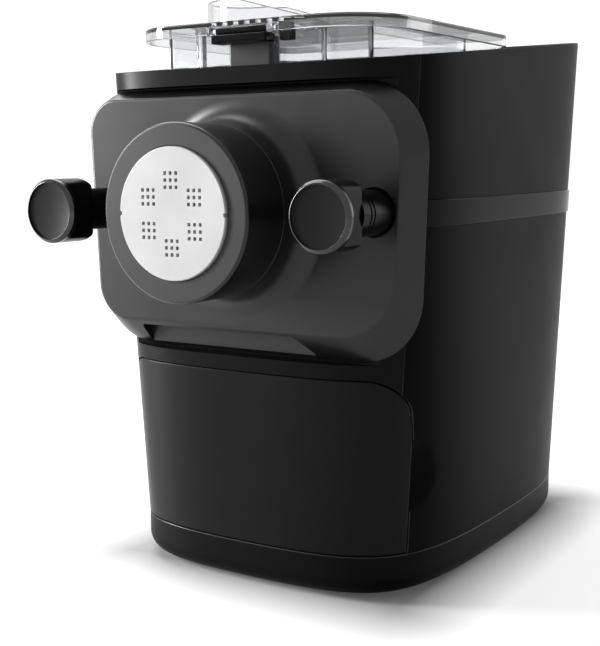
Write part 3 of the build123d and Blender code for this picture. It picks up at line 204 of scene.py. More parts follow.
slotLook = {
    "body_black": "satinBody", "panel_charcoal": "satinPanel", "trim_black": "glossBand", "nose_dark": "satinNose",
    "disc_white": "discResin", "knob_dark": "knobDark", "polished": "polishedRim", "clear": "clearPlastic",
    "steel": "brushedSteel", "alloy": "castAlloy", "rubber_black": "softRubber", "brass": "turnedBrass",
    "board_green": "boardGreen", "white_plastic": "whiteResin", "grey_plastic": "greyResin",
    "copper_wound": "copperWinding",
}
for part in frame["record"]["subparts"]:
    mesh = nodes[part["node"]].data
    mesh.materials.clear()
    mesh.materials.append(materials[slotLook[part["material_slot"]]])
# the latch post gets the grey that paints the clear plastic's reflection over it
for node, look in (("control_glass", "controlGlass"), ("front_frame", "satinFrame"), ("latch_post", "postPaintedLidReflection")):
    nodes[node].data.materials[0] = materials[look]
print("materials set:", len(materials))

# shapes, worked out in millimetres as whole arrays

axisHeight = 230.0


def gridFaces(rows, columns, closeRows=False, closeColumns=False):
    # point (i, j) has number i * columns + j; a quad joins it with the next row and the next column
    i = np.arange(rows if closeRows else rows - 1)[:, None]
    j = np.arange(columns if closeColumns else columns - 1)[None, :]
    iNext, jNext = (i + 1) % rows, (j + 1) % columns
    corners = (i * columns + j, iNext * columns + j, iNext * columns + jNext, i * columns + jNext)
    return np.stack(np.broadcast_arrays(*corners), -1).reshape(-1, 4).tolist()


def sheet(points, closeRows=False, closeColumns=False):
    # a grid of points as one surface
    return points.reshape(-1, 3), gridFaces(*points.shape[:2], closeRows, closeColumns)


def tube(*loops):
    # loops of equal length, joined in their order
    return sheet(np.stack(loops), closeColumns=True)


def curveThrough(a, corner, b, steps):
    # quadratic curve (1-u)^2 a + 2u(1-u) corner + u^2 b, one row of points for each u
    u = np.linspace(0, 1, steps).reshape((-1,) + (1,) * np.ndim(a))
    return (1 - u) ** 2 * a + 2 * u * (1 - u) * corner + u**2 * b


def softPath(corners, radii, closed=False, steps=6):
    # a path whose corners become quadratic curves that start and end a radius away along its two sides
    corners = np.asarray(corners, float)
    path = []
    for k, radius in enumerate(radii):
        if radius == 0 or (not closed and k in (0, len(corners) - 1)):
            path.append(corners[k : k + 1])
            continue
        before, after = corners[k - 1] - corners[k], corners[(k + 1) % len(corners)] - corners[k]
        a = corners[k] + before / np.linalg.norm(before) * radius
        b = corners[k] + after / np.linalg.norm(after) * radius
        path.append(curveThrough(a, corners[k], b, steps))
    return np.concatenate(path)


def roundedLoop(corners, radii, steps=16):
    # each corner is an arc whose centre lies radius / sin(half the corner's angle) along its bisector
    corners = np.asarray(corners, float)
    loop = []
    for k, radius in enumerate(radii):
        before = corners[k - 1] - corners[k]
        after = corners[(k + 1) % len(corners)] - corners[k]
        before, after = before / np.linalg.norm(before), after / np.linalg.norm(after)
        half = math.acos(np.clip(before @ after, -1, 1)) / 2
        bisector = (before + after) / np.linalg.norm(before + after)
        centre = corners[k] + bisector * radius / math.sin(half)
        spokes = corners[k] + np.stack([before, after]) * radius / math.tan(half) - centre
        first, last = np.arctan2(spokes[:, 1], spokes[:, 0])
        sweep = (last - first + math.pi) % (2 * math.pi) - math.pi
        angles = first + np.linspace(0, 1, steps + 1) * sweep
        loop.append(centre + radius * np.column_stack([np.cos(angles), np.sin(angles)]))
    return np.concatenate(loop)


def rectLoop(x, z, halfX, halfZ, corner, steps=4):
    # a rectangle of x +- halfX by z +- halfZ with rounded corners
    corners = [(x - halfX, z - halfZ), (x + halfX, z - halfZ), (x + halfX, z + halfZ), (x - halfX, z + halfZ)]
    return roundedLoop(corners, [corner] * 4, steps)


def circleLoop(radius, x, z, steps):
    # a circle, x + r cos a and z + r sin a
    angles = np.arange(steps) * 2 * math.pi / steps
    return np.column_stack([x + radius * np.cos(angles), z + radius * np.sin(angles)])


def atDepth(loop, y):
    # a flat loop becomes (first, y, second)
    return np.column_stack([loop[:, 0], np.full(len(loop), float(y)), loop[:, 1]])


def atHeight(loop, z):
    # a flat loop becomes (first, second, z), with one height or one for each point
    return np.column_stack([loop, np.broadcast_to(np.asarray(z, float), len(loop))])


def flatFace(loops, place):
    # a flat face with holes: the first loop is its outline and the others are holes, cut into triangles
    flat = [list(map(Vector, np.column_stack([loop, np.zeros(len(loop))]).tolist())) for loop in loops]
    return place(np.concatenate(loops)), [list(corners) for corners in tessellate_polygon(flat)]


def depthFace(loops, y):
    # an upright flat face across Y
    return flatFace(loops, lambda flat: atDepth(flat, y))


def levelFace(loops, z):
    # a level flat face
    return flatFace(loops, lambda flat: atHeight(flat, z))


def turned(profile, x, steps, closed=False, flat=None):
    # (radius, y) rows turned about a line along Y at the axis height; on the rows that flat names, the radius r
    # becomes the soft minimum (r^-n + (half / |cos angle|)^-n)^(-1/n)
    angles = np.arange(steps) * 2 * math.pi / steps
    radius = np.repeat(profile[:, :1], steps, 1)
    if flat is not None:
        n = flat["power"]
        limit = flat["half"] / np.maximum(np.abs(np.cos(angles)), 1e-6)
        pressed = (np.maximum(radius, 1e-3) ** -n + limit[None, :] ** -n) ** (-1 / n)
        radius = np.where(flat["rows"][:, None], pressed, radius)
    up = axisHeight + radius * np.sin(angles)
    points = np.broadcast_arrays(x + radius * np.cos(angles), profile[:, 1:2], up)
    return sheet(np.stack(points, -1), closeRows=closed, closeColumns=True)


def turnedAlongX(radius, x, y, z, halfLength, edge, steps=40):
    # a closed rod along X with rounded ends
    corners = [(0, -halfLength), (radius, -halfLength), (radius, halfLength), (0, halfLength)]
    rows = softPath(corners, (0, edge, edge, 0))
    angles = np.arange(steps) * 2 * math.pi / steps
    across, up = rows[:, :1] * np.cos(angles), rows[:, :1] * np.sin(angles)
    return sheet(np.stack(np.broadcast_arrays(x + rows[:, 1:2], y + across, z + up), -1), closeColumns=True)


def prism(loop, yFront, yBack):
    # closed solid between two depths with the loop as its section
    return [
        tube(atDepth(loop, yFront), atDepth(loop, yBack)), depthFace([loop], yFront), depthFace([loop], yBack),
    ]


def prismUp(loop, zLow, zHigh):
    # closed solid between two heights with the loop as its plan
    return [tube(atHeight(loop, zLow), atHeight(loop, zHigh)), levelFace([loop], zLow), levelFace([loop], zHigh)]


def slab(low, high):
    # a closed block between two opposite corners
    loop = np.array([(low[0], low[2]), (high[0], low[2]), (high[0], high[2]), (low[0], high[2])], float)
    return prism(loop, low[1], high[1])


def softBlock(low, high, edge, steps=3):
    # a block whose edges are rounded by an edge bevel
    low, high = np.array(low, float), np.array(high, float)
    made = bmesh.new()
    bmesh.ops.create_cube(made, size=1.0)
    for vert in made.verts:
        vert.co = (low + high) / 2 + np.array(vert.co) * (high - low)
    bmesh.ops.bevel(made, geom=made.edges[:], offset=edge, segments=steps, profile=0.5, affect="EDGES")
    made.verts.index_update()
    points = np.array([vert.co[:] for vert in made.verts])
    faces = [[vert.index for vert in face.verts] for face in made.faces]
    made.free()
    return points, faces


def joinedMesh(name, shapes):
    # shapes are (points, faces); points within a hundredth of a millimetre are merged, normals turned outward
    points, faces, start = [], [], 0
    for shapePoints, shapeFaces in shapes:
        points.append(shapePoints)
        faces += [[corner + start for corner in face] for face in shapeFaces]
        start += len(shapePoints)
    mesh = bpy.data.meshes.new(name)
    mesh.from_pydata((np.concatenate(points) / 1000).tolist(), [], faces)
    made = bmesh.new()
    made.from_mesh(mesh)
    bmesh.ops.remove_doubles(made, verts=made.verts, dist=1e-5)
    bmesh.ops.recalc_face_normals(made, faces=made.faces)
    made.to_mesh(mesh)
    made.free()
    return mesh


def solidChange(mesh, changes):
    # joins or takes out closed shapes, one exact boolean for each (operation, shapes)
    for count, (operation, shapes) in enumerate(changes):
        body = bpy.data.objects.new("cutBody", mesh)
        tool = bpy.data.objects.new("cutTool", joinedMesh("cutTool%d" % count, shapes))
        for helper in (body, tool):
            bpy.context.scene.collection.objects.link(helper)
        change = body.modifiers.new("change", "BOOLEAN")
        change.operation, change.solver, change.object = operation, "EXACT", tool
        result = bpy.data.meshes.new_from_object(body.evaluated_get(bpy.context.evaluated_depsgraph_get()))
        bpy.data.objects.remove(body)
        bpy.data.objects.remove(tool)
        result.name = mesh.name
        mesh = result
    return mesh


def shapeOf(mesh):
    # a finished mesh as points in millimetres and faces
    points = np.zeros(len(mesh.vertices) * 3)
    mesh.vertices.foreach_get("co", points)
    return points.reshape(-1, 3) * 1000, [list(face.vertices) for face in mesh.polygons]


def secondLook(mesh, look, chosen):
    # gives the faces whose outward normal and middle, in millimetres, pass the test another material
    normals, middles = np.zeros(len(mesh.polygons) * 3), np.zeros(len(mesh.polygons) * 3)
    mesh.polygons.foreach_get("normal", normals)
    mesh.polygons.foreach_get("center", middles)
    mesh.materials.append(materials[look])
    slots = np.zeros(len(mesh.polygons), np.int32)
    mesh.polygons.foreach_get("material_index", slots)
    picked = chosen(normals.reshape(-1, 3), middles.reshape(-1, 3) * 1000)
    mesh.polygons.foreach_set("material_index", np.where(picked, len(mesh.materials) - 1, slots).astype(np.int32))


def finishPiece(mesh, look, body, replaced, sharp):
    # edges past the sharp angle, in degrees, stay crisp; the other faces are weighted by area
    mesh.polygons.foreach_set("use_smooth", np.ones(len(mesh.polygons), bool))
    mesh.set_sharp_from_angle(angle=math.radians(sharp))
    mesh.materials.clear()
    mesh.materials.append(materials[look])
    piece = bpy.data.objects.new(mesh.name, mesh)
    bpy.context.scene.collection.objects.link(piece)
    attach(piece, body)
    weights = piece.modifiers.new("weights", "WEIGHTED_NORMAL")
    weights.keep_sharp = True
    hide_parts(*replaced)


# front panel with its nose boss, knob recesses and finger grip; face and back give half the width at the top
# and at the bottom, the reach above and below the axis, and the corner radii from the lower left

panel = dict(
    faceY=-117.1, backY=-102.6, skin=3.5, edge=1.5, hollowFloor=160.5,
    face=(112.0, 106.5, 66.5, 70.0, (22.0, 36.5, 36.5, 20.0)),
    back=(122.5, 116.1, 72.7, 87.3, (44.0, 41.0, 41.0, 30.0)),
    bossFront=-139.3, bossRadius=50.0, boreRadius=42.5, flare=14.0, knobX=93.5,
    recess=13.4, recessRim=0.7, recessFloor=-111.1, recessBack=-108.1, recessOuter=15.9, shaft=9.54,
    grip=[(-75, 145), (49.5, 145), (38, 157), (-76, 157)], gripRadii=[3, 1, 8, 3], gripFront=-130, gripFloor=-104.8,
)


def panelLoop(sizes, inset, y, floor=None):
    # rounded outline whose half widths, reach and radii are all less by inset; floor lifts the lower side
    halfTop, halfBottom, top, bottom, corner = sizes
    low = axisHeight - bottom + inset if floor is None else floor
    wideLow, wideHigh, high = halfBottom - inset, halfTop - inset, axisHeight + top - inset
    corners = [(-wideLow, low), (wideLow, low), (wideHigh, high), (-wideHigh, high)]
    return atDepth(roundedLoop(corners, [radius - inset for radius in corner], 24), y)


def panelShapes(p):
    # rows of loops from the flat face over the rounded edges and the bevel, round the back and inside
    faceIn, faceEdge = [panelLoop(p["face"], inset, p["faceY"]) for inset in (p["edge"], 0)]
    backIn, backEdge = [panelLoop(p["back"], inset, p["backY"]) for inset in (p["edge"], 0)]
    slope = backEdge - faceEdge
    slope = slope / np.linalg.norm(slope, axis=1, keepdims=True) * p["edge"]
    innerY, flareY = p["faceY"] + p["skin"], p["faceY"] - p["flare"]
    innerFace = panelLoop(p["face"], p["skin"], innerY, p["hollowFloor"])
    rows = [
        curveThrough(faceIn, faceEdge, faceEdge + slope, 7),
        np.linspace(faceEdge + slope, backEdge - slope, 8)[1:-1],
        curveThrough(backEdge - slope, backEdge, backIn, 6),
        panelLoop(p["back"], p["skin"], p["backY"], p["hollowFloor"])[None], innerFace[None],
    ]
    shapes = [sheet(np.concatenate(rows), closeColumns=True)]
    outer, rim, inner = p["bossRadius"] + p["flare"], p["recess"] + p["recessRim"], p["recessOuter"]
    for outline, y, middle, side in ((faceIn, p["faceY"], outer, rim), (innerFace, innerY, p["boreRadius"], inner)):
        holes = [circleLoop(middle, 0, axisHeight, 128)]
        holes += [circleLoop(side, sign * p["knobX"], axisHeight, 48) for sign in (-1, 1)]
        shapes.append(depthFace([outline[:, ::2]] + holes, y))
    turn = np.linspace(math.pi / 2, 0, 17)
    flare = np.column_stack([outer - p["flare"] * np.cos(turn), flareY + p["flare"] * np.sin(turn)])
    lip = [
        (p["bossRadius"], flareY), (p["bossRadius"], p["bossFront"]), (p["boreRadius"], p["bossFront"]),
        (p["boreRadius"], innerY),
    ]
    shapes.append(turned(np.concatenate([flare[:-1], softPath(lip, (0, 0.5, 0.3, 0))]), 0, 128))
    cup = [
        (rim, p["faceY"]), (p["recess"], p["faceY"]), (p["recess"], p["recessFloor"]),
        (p["shaft"], p["recessFloor"]), (p["shaft"], p["recessBack"]), (inner, p["recessBack"]), (inner, innerY),
    ]
    cupPath = softPath(cup, (0, 0.69, 0.5, 0.2, 0, 0, 0))
    return shapes + [turned(cupPath, sign * p["knobX"], 48) for sign in (-1, 1)]


gripCut = prism(roundedLoop(panel["grip"], panel["gripRadii"], 8), panel["gripFront"], panel["gripFloor"])
panelMesh = solidChange(joinedMesh("frontPanel", panelShapes(panel)), [("DIFFERENCE", gripCut)])
finishPiece(panelMesh, "satinPanel", "panel", ["front_panel"], 30)
print("panel made:", len(panelMesh.polygons), "faces")

# nose ring and shaping disc

nose = dict(front=-174.3, back=-139.3, radius=50.0, chamfer=1.2, opening=37.3, lip=3.0, bore=42.5)


def noseShapes(n):
    # a closed section turned about the axis: side, chamfer, flat front, opening, lip and bore
    front, back, lipY = n["front"], n["back"], n["front"] + n["lip"]
    corners = [
        (n["radius"], back), (n["radius"], front + n["chamfer"]), (n["radius"] - n["chamfer"], front),
        (n["opening"], front), (n["opening"], lipY), (n["bore"], lipY), (n["bore"], back),
    ]
    path = softPath(corners, (0.5, 0.45, 0.45, 0.4, 0, 0, 0.3), closed=True)
    return [turned(path, 0, 144, closed=True)]


noseMesh = joinedMesh("noseRing", noseShapes(nose))
finishPiece(noseMesh, "satinNose", "panel", ["nose_ring"], 30)
secondLook(noseMesh, "matteNose", lambda normals, middles: normals[:, 1] < -0.97)

disc = dict(
    front=-176.0, step=-171.0, back=-167.0, radius=36.9, flange=40.8, edge=0.6, notch=1.3, notchRim=0.3, pitch=3.83,
    group=18.5, hole=2.0, holeCorner=0.35,
)


def discLoop(radius, notch):
    # circle with a small round notch at each side: along a ray the notch lies at c cos a - sqrt(n^2 - c^2 sin^2 a)
    spread = math.asin(min(1.0, notch / disc["radius"])) * 1.02
    fine = spread * np.sin(np.linspace(-math.pi / 2, math.pi / 2, 11))
    coarse = np.linspace(spread, math.pi - spread, 62)[1:-1]
    angles = np.concatenate([fine, coarse, math.pi + fine, math.pi + coarse])
    across = disc["radius"] * np.sin(angles)
    bite = np.abs(disc["radius"] * np.cos(angles)) - np.sqrt(np.maximum(notch**2 - across**2, 0))
    radii = np.where(np.abs(across) < notch, np.minimum(bite, radius), radius)
    return np.column_stack([radii * np.cos(angles), axisHeight + radii * np.sin(angles)])


def discShapes(d):
    # six groups of three by three square holes: a hole's middle is the group's, on a circle, plus pitch steps
    turn = math.pi / 2 + np.arange(6) * math.pi / 3
    grid = (np.arange(3) - 1) * d["pitch"]
    x, z = np.broadcast_arrays(
        d["group"] * np.cos(turn)[:, None, None] + grid[:, None],
        axisHeight + d["group"] * np.sin(turn)[:, None, None] + grid,
    )
    square = rectLoop(0, 0, d["hole"] / 2, d["hole"] / 2, d["holeCorner"], 3)
    holes = [square + centre for centre in np.column_stack([x.ravel(), z.ravel()])]
    rim, bend = [discLoop(d["radius"] - inset, d["notch"] + d["notchRim"]) for inset in (d["edge"], 0.25)]
    side = discLoop(d["radius"], d["notch"])
    flange = circleLoop(d["flange"], 0, axisHeight, len(side))
    front, step, back = d["front"], d["step"], d["back"]
    rows = ((rim, front), (bend, front + 0.2), (side, front + d["edge"]), (side, step))
    shapes = [
        tube(*(atDepth(loop, y) for loop, y in rows)),
        depthFace([rim] + holes, front), depthFace([flange, side], step),
        tube(atDepth(flange, step), atDepth(flange, back)), depthFace([flange] + holes, back),
    ]
    return shapes + [tube(atDepth(hole, front), atDepth(hole, back)) for hole in holes]


discMesh = joinedMesh("shapingDisc", discShapes(disc))
finishPiece(discMesh, "discResin", "panel", ["shaping_disc"], 15)
print("nose made:", len(noseMesh.polygons), "and", len(discMesh.polygons), "faces")

# clamping knobs

knob = dict(
    front=-174.8, ringBack=-170.8, capBack=-169.3, headBack=-148.8, neckBack=-112.6, shaftBack=-107.8,
    coreFront=-149.8, radius=19.0, flat=11.0, flatPower=60.0, headEdge=2.2, ringGap=0.02, face=16.6, faceGap=0.04,
    faceY=-173.8, faceSide=-173.6, dish=1.0, neck=12.6, shaft=9.5, core=7.04, groove=1.2, grooves=(6, 9), bevel=1.8,
)


def knobShapes(k, x):
    # profile from the cap back over the flattened head, the grooved neck and the shaft, then forward through the
    # bore; a groove starts its own number of groove widths behind the head
    headFront, headBack, wide, width = k["capBack"], k["headBack"], k["radius"], k["groove"]
    capFront, ledge = k["ringBack"] + k["ringGap"], k["flat"] - 2
    cap = [(k["core"], capFront), (wide, capFront), (wide, headFront), (ledge, headFront)]
    head = [(ledge, headFront), (wide, headFront), (wide, headBack), (k["neck"], headBack)]
    cap, head = softPath(cap, (0, 0.2, 0.35, 0)), softPath(head, (0, 0, k["headEdge"], 0))
    neck, radii = [(k["neck"], headBack)], [0.0]
    for count in k["grooves"]:
        first, floor = headBack + count * width, k["neck"] - width
        neck += [(k["neck"], first), (floor, first), (floor, first + width), (k["neck"], first + width)]
        radii += [0.25, 0.2, 0.2, 0.25]
    neck += [
        (k["neck"], k["neckBack"]), (k["shaft"], k["neckBack"]), (k["shaft"], k["shaftBack"]),
        (k["core"], k["shaftBack"]), (k["core"], k["coreFront"]), (0.0, k["coreFront"]),
    ]
    radii += [0.5, 0.2, 0.2, 0, 0, 0]
    profile = np.concatenate([[(0.0, capFront)], cap, head, softPath(neck, radii)])
    pressed = np.zeros(len(profile), bool)
    pressed[1 + len(cap) : len(cap) + len(head)] = True
    return [turned(profile, x, 120, flat=dict(half=k["flat"], power=k["flatPower"], rows=pressed))]


def knobRingShapes(k, x):
    # a closed section turned about the knob's axis, with a bevel between its front and its side
    corners = [
        (k["face"], k["ringBack"]), (k["face"], k["front"]), (k["radius"] - k["bevel"], k["front"]),
        (k["radius"], k["front"] + k["bevel"]), (k["radius"], k["ringBack"]),
    ]
    return [turned(softPath(corners, (0, 0.15, 0.4, 0.5, 0), closed=True), x, 96, closed=True)]


def knobFaceShapes(k, x):
    # dished face: it lies deeper by the dish times 1 - (r / edge)^2
    edge = k["face"] - k["faceGap"]
    r = np.linspace(0, edge, 24)
    front = np.column_stack([r, k["faceY"] + k["dish"] * (1 - (r / r[-1]) ** 2)])
    back = [(edge, k["faceSide"]), (edge, k["ringBack"]), (0.0, k["ringBack"])]
    return [turned(np.concatenate([front, back]), x, 96)]


knobPieces = (
    ("Body", knobShapes, "knobDark", "knob_dark"), ("Ring", knobRingShapes, "polishedRim", "polished"),
    ("Face", knobFaceShapes, "knobFace", "knob_dark"),
)
for side, sideName in ((-1, "Left"), (1, "Right")):
    cadName = "knob_" + sideName.lower()
    for pieceName, shapesOf, look, slot in knobPieces:
        mesh = joinedMesh("knob" + pieceName + sideName, shapesOf(knob, side * panel["knobX"]))
        finishPiece(mesh, look, cadName, [cadName + "_" + pieceName.lower()], 30)
print("knobs made")

# housing shapes: four full curves per height, from the base seam to the sloping rim

plan = dict(
    lowZ=27.5, highZ=345.08, lowX=112.0, highX=117.006, lowFull=0.88, highFull=1.0691, halfY=145.65, midY=30.35,
)
housing = dict(
    wall=3.0, seamY=-91.8, drawerEdgeY=-83.3, edge=0.7, rimZ=313.0, rimY=-115.3, rimSlope=5.7,
    borderHalf=81.0, borderCorner=20.5, borderTurn=113.0, borderTop=133.4,
    grooveZ=228.0, grooveHalf=7.99, grooveY=-84.3, grooveDepth=1.2,
)
dimple = dict(centre=(124.14, -95.76, 74.0), radius=34.0, soft=1.3, slope=1.307)
edgeShares = np.array([0, 0.12, 0.35, 0.65, 1.0])  # where the rows of a rounded edge lie, as parts of its radius


def quarter(t, full):
    # cubic curve of a quarter: across (1-t)^3 + 3(1-t)^2 t + 3(1-t) t^2 f, along 3(1-t)^2 t f + 3(1-t) t^2 + t^3
    s = 1 - t
    return s**3 + 3 * s * s * t + 3 * s * t * t * full, 3 * s * s * t * full + 3 * s * t * t + t**3


def planPoints(w, z, inset=0.0):
    # w counts quarters from the right side over the back, the left side and the front; the two end curves blend
    # with height
    turn = np.floor(w)
    t = np.where(turn % 2 == 0, w - turn, 1 - (w - turn))
    share = (z - plan["lowZ"]) / (plan["highZ"] - plan["lowZ"])
    lowX, lowY = quarter(t, plan["lowFull"])
    highX, highY = quarter(t, plan["highFull"])
    across = (1 - share) * (plan["lowX"] - inset) * lowX + share * (plan["highX"] - inset) * highX
    along = ((1 - share) * lowY + share * highY) * (plan["halfY"] - inset)
    signX = np.where((turn % 4 == 1) | (turn % 4 == 2), -1.0, 1.0)
    signY = np.where((turn % 4 == 0) | (turn % 4 == 1), 1.0, -1.0)
    return np.stack(np.broadcast_arrays(signX * across, plan["midY"] + signY * along, z), -1)


def shareAt(axis, goal, z, inset=0.0):
    # the t of a front quarter at which the outline passes a width (axis 0) or a depth (axis 1): both shrink as t
    # grows, so an interval from 0 to 1 is halved forty times
    low, high = np.zeros(np.broadcast(goal, z).shape), np.ones(np.broadcast(goal, z).shape)
    for _ in range(40):
        middle = (low + high) / 2
        here = planPoints(middle + 2, z, inset)[..., axis]
        past = here < goal if axis else np.abs(here) < np.abs(goal)
        low, high = np.where(past, low, middle), np.where(past, middle, high)
    return (low + high) / 2


def planNormals(w, z):
    # outward normal of the wall: the slope along the outline crossed with the slope up
    along = planPoints(w + 1e-4, z) - planPoints(w - 1e-4, z)
    up = planPoints(w, z + 0.1) - planPoints(w, z - 0.1)
    normal = np.cross(along, up)
    return normal / np.linalg.norm(normal, axis=-1, keepdims=True)


def columnPlaces(front, backSteps):
    # columns from the right front over the back to the left front: a column's w is start + reach * (border's t)
    back = np.linspace(0, 2, backSteps + 2)[1:-1]
    start = np.concatenate([np.zeros(len(front)), back, np.full(len(front), 2.0)])
    return start, np.concatenate([front - 1, np.zeros(backSteps), (1 - front)[::-1]])


def edgeDrop(distance, radius):
    # how far a rounded edge falls away at a distance from the border: r - sqrt(r^2 - (r - d)^2)
    near = np.clip(radius - distance, 0, radius)
    return radius - np.sqrt(radius**2 - near**2)


def dimpleDepth(points, normals):
    # depth along the inward normal to a ball's far side, smoothed at the rim by (q + sqrt(q^2 + e^2)) / 2
    centre, radius = np.array(dimple["centre"]), dimple["radius"]
    offset = np.where(points[..., :1] > 0, points - centre, points - centre * [-1, 1, 1])
    reach = np.linalg.norm(offset, axis=-1)
    along = -np.sum(offset * normals, -1)
    inside = np.sqrt(np.maximum(along**2 - reach**2 + radius**2, 0)) - along
    depth = np.where(reach < radius, inside, (radius - reach) * dimple["slope"])
    soft = (depth + np.sqrt(depth**2 + dimple["soft"] ** 2)) / 2
    return np.where(soft < 0.05, 0, soft)


def shellFront(z):
    # front border of the rear housing: along the drawer's side edge, round its top corner by
    # sqrt(corner^2 - (z - turn)^2), then up the frame seam
    above = np.maximum(z - housing["borderTurn"], 0)
    reach = housing["borderHalf"] + np.sqrt(np.maximum(housing["borderCorner"] ** 2 - above**2, 0))
    y = planPoints(shareAt(0, reach, z) + 2, z)[..., 1]
    clipped = np.clip(y, housing["seamY"], housing["drawerEdgeY"])
    return np.where(z > housing["borderTop"], housing["seamY"], clipped)


def rimHeight(y):
    # the rim climbs towards the back by tan(slope)
    return housing["rimZ"] + (y - housing["rimY"]) * math.tan(math.radians(housing["rimSlope"]))


def rearShellShapes(h):
    # rows run up the outside, over the rim and down the inside; columns run from the right front over the back to
    # the left front; the outside sinks by the larger of the two edge drops, plus the dimple and the band's groove
    edge, low, lastRise = h["edge"], plan["lowZ"], 25.0
    closeEdge = edge * edgeShares
    levels = np.concatenate([
        low + closeEdge, np.linspace(31, 48, 7), np.linspace(50, 98, 33), np.linspace(101, 112, 5),
        np.linspace(113, 134.2, 62),
        [140, 160, 185, 205, 219.6, 220, 220.05, 228, 235.95, 236, 236.4, 250, 275, 295],
    ])
    steps = np.concatenate([[0.25, 0.5, 0.75], 1 - closeEdge[::-1] / lastRise])
    start, reach = columnPlaces(np.concatenate([[0, 0.002, 0.006, 0.012, 0.02], np.linspace(0.04, 1, 44)]), 80)
    topZ = np.full(len(start), 330.0)
    for _ in range(4):
        topZ = rimHeight(planPoints(start + reach * shareAt(1, shellFront(topZ), topZ), topZ)[..., 1])
    z = np.repeat(levels[:, None], len(start), 1)
    z = np.concatenate([z, levels[-1] + steps[:, None] * (topZ - levels[-1])])
    border = shellFront(z[:, 0])[:, None]

    def wall(inset):
        # points and normals of the wall, its columns drawn towards the border
        place = start + reach * shareAt(1, border, z[:, :1], inset)
        return planPoints(place, z, inset), planNormals(place, z)

    outer, normals = wall(0.0)
    inner, _ = wall(h["wall"])
    pressed = dimpleDepth(outer, normals)
    groove = (np.abs(z - h["grooveZ"]) < h["grooveHalf"]) & (outer[..., 1] > h["grooveY"])
    rim = np.concatenate([edgeDrop(levels - low, edge), edgeDrop((1 - steps) * lastRise, edge)])[:, None]
    fromRight, fromLeft = [np.linalg.norm(outer - outer[:, k, None], axis=-1) for k in (0, -1)]
    borderDrop = edgeDrop(np.minimum(fromRight, fromLeft), edge)
    sink = np.maximum(rim, borderDrop) + pressed + h["grooveDepth"] * groove
    outer = outer - normals * sink[..., None]
    inner = inner - normals * pressed[..., None]
    caps = [sheet(np.stack([outer[:, k], inner[:, k]])) for k in (0, -1)]
    print("rear shell grid:", len(outer), "by", len(start))
    return [sheet(np.concatenate([outer, inner[::-1]]), closeRows=True)] + caps


# holes gives each opening's middle, half width and half height
port = dict(
    halfX=57.0, halfZ=19.0, midZ=62.0, corner=2.5, floorY=167.0, wall=3.0, cupBack=174.4,
    holes=((-32, 13.8, 10.3), (32, 10.3, 14.3)), holeCorner=1.5, cutFront=150, cutBack=190,
)
vents = dict(count=11, pitch=8.0, midZ=123.0, halfX=1.5, halfZ=23.0, corner=1.49)


def portChanges(p, v):
    # joins the port's cup to the wall, then takes out its hollow, its two openings and the row of vent slots
    sizes = (p["halfX"] + p["wall"], p["halfZ"] + p["wall"], p["corner"] + 1)
    cup = prism(rectLoop(0, p["midZ"], *sizes), p["floorY"] - p["wall"], p["cupBack"])
    hollow = prism(rectLoop(0, p["midZ"], p["halfX"], p["halfZ"], p["corner"]), p["floorY"], p["cutBack"])
    loops = [rectLoop(x, p["midZ"], halfX, halfZ, p["holeCorner"]) for x, halfX, halfZ in p["holes"]]
    middles = (np.arange(v["count"]) - v["count"] // 2) * v["pitch"]
    loops += [rectLoop(x, v["midZ"], v["halfX"], v["halfZ"], v["corner"], 6) for x in middles]
    holes = [shape for loop in loops for shape in prism(loop, p["cutFront"], p["cutBack"])]
    return [("UNION", cup), ("DIFFERENCE", hollow), ("DIFFERENCE", holes)]


shellMesh = solidChange(joinedMesh("rearShell", rearShellShapes(housing)), portChanges(port, vents))
finishPiece(shellMesh, "satinShell", "housing", ["rear_housing"], 34)
# the shell's front border faces get the painted edge highlight
secondLook(shellMesh, "paintedEdgeHighlight", lambda normals, middles: middles[:, 1] < shellFront(middles[:, 2]) + 0.5)
print("rear shell made:", len(shellMesh.polygons), "faces")

# trim band, drawer front and base tray

band = dict(low=220.3, high=235.7, frontY=-84.0, proud=1.0, back=0.9, edge=0.45)


def bandShapes(b):
    # a closed section of (inset, height) rows, carried from the right front over the back to the left front
    corners = [(b["back"], b["low"]), (-b["proud"], b["low"]), (-b["proud"], b["high"]), (b["back"], b["high"])]
    section = softPath(corners, (0, b["edge"], b["edge"], 0), True)
    inset, z = section[:, :1], section[:, 1:]
    start, reach = columnPlaces(np.linspace(0, 1, 40), 98)
    points = planPoints(start + reach * shareAt(1, b["frontY"], z, inset), z, inset)
    caps = [(points[:, k], [list(range(len(section)))]) for k in (0, -1)]
    return [sheet(points, closeRows=True)] + caps


finishPiece(joinedMesh("trimBand", bandShapes(band)), "glossBand", "housing", ["trim_band"], 30)

drawer = dict(
    low=28.0, top=133.0, corner=20.0, half=101.0, bendEnd=98.9, edgeX=99.4, edgeY=-83.8, wall=3.0, edge=0.8,
    ribX=60, ribHalf=2, ribLow=34.3, ribHigh=118.3, ribFront=-106.5, ribBack=-97.3,
)


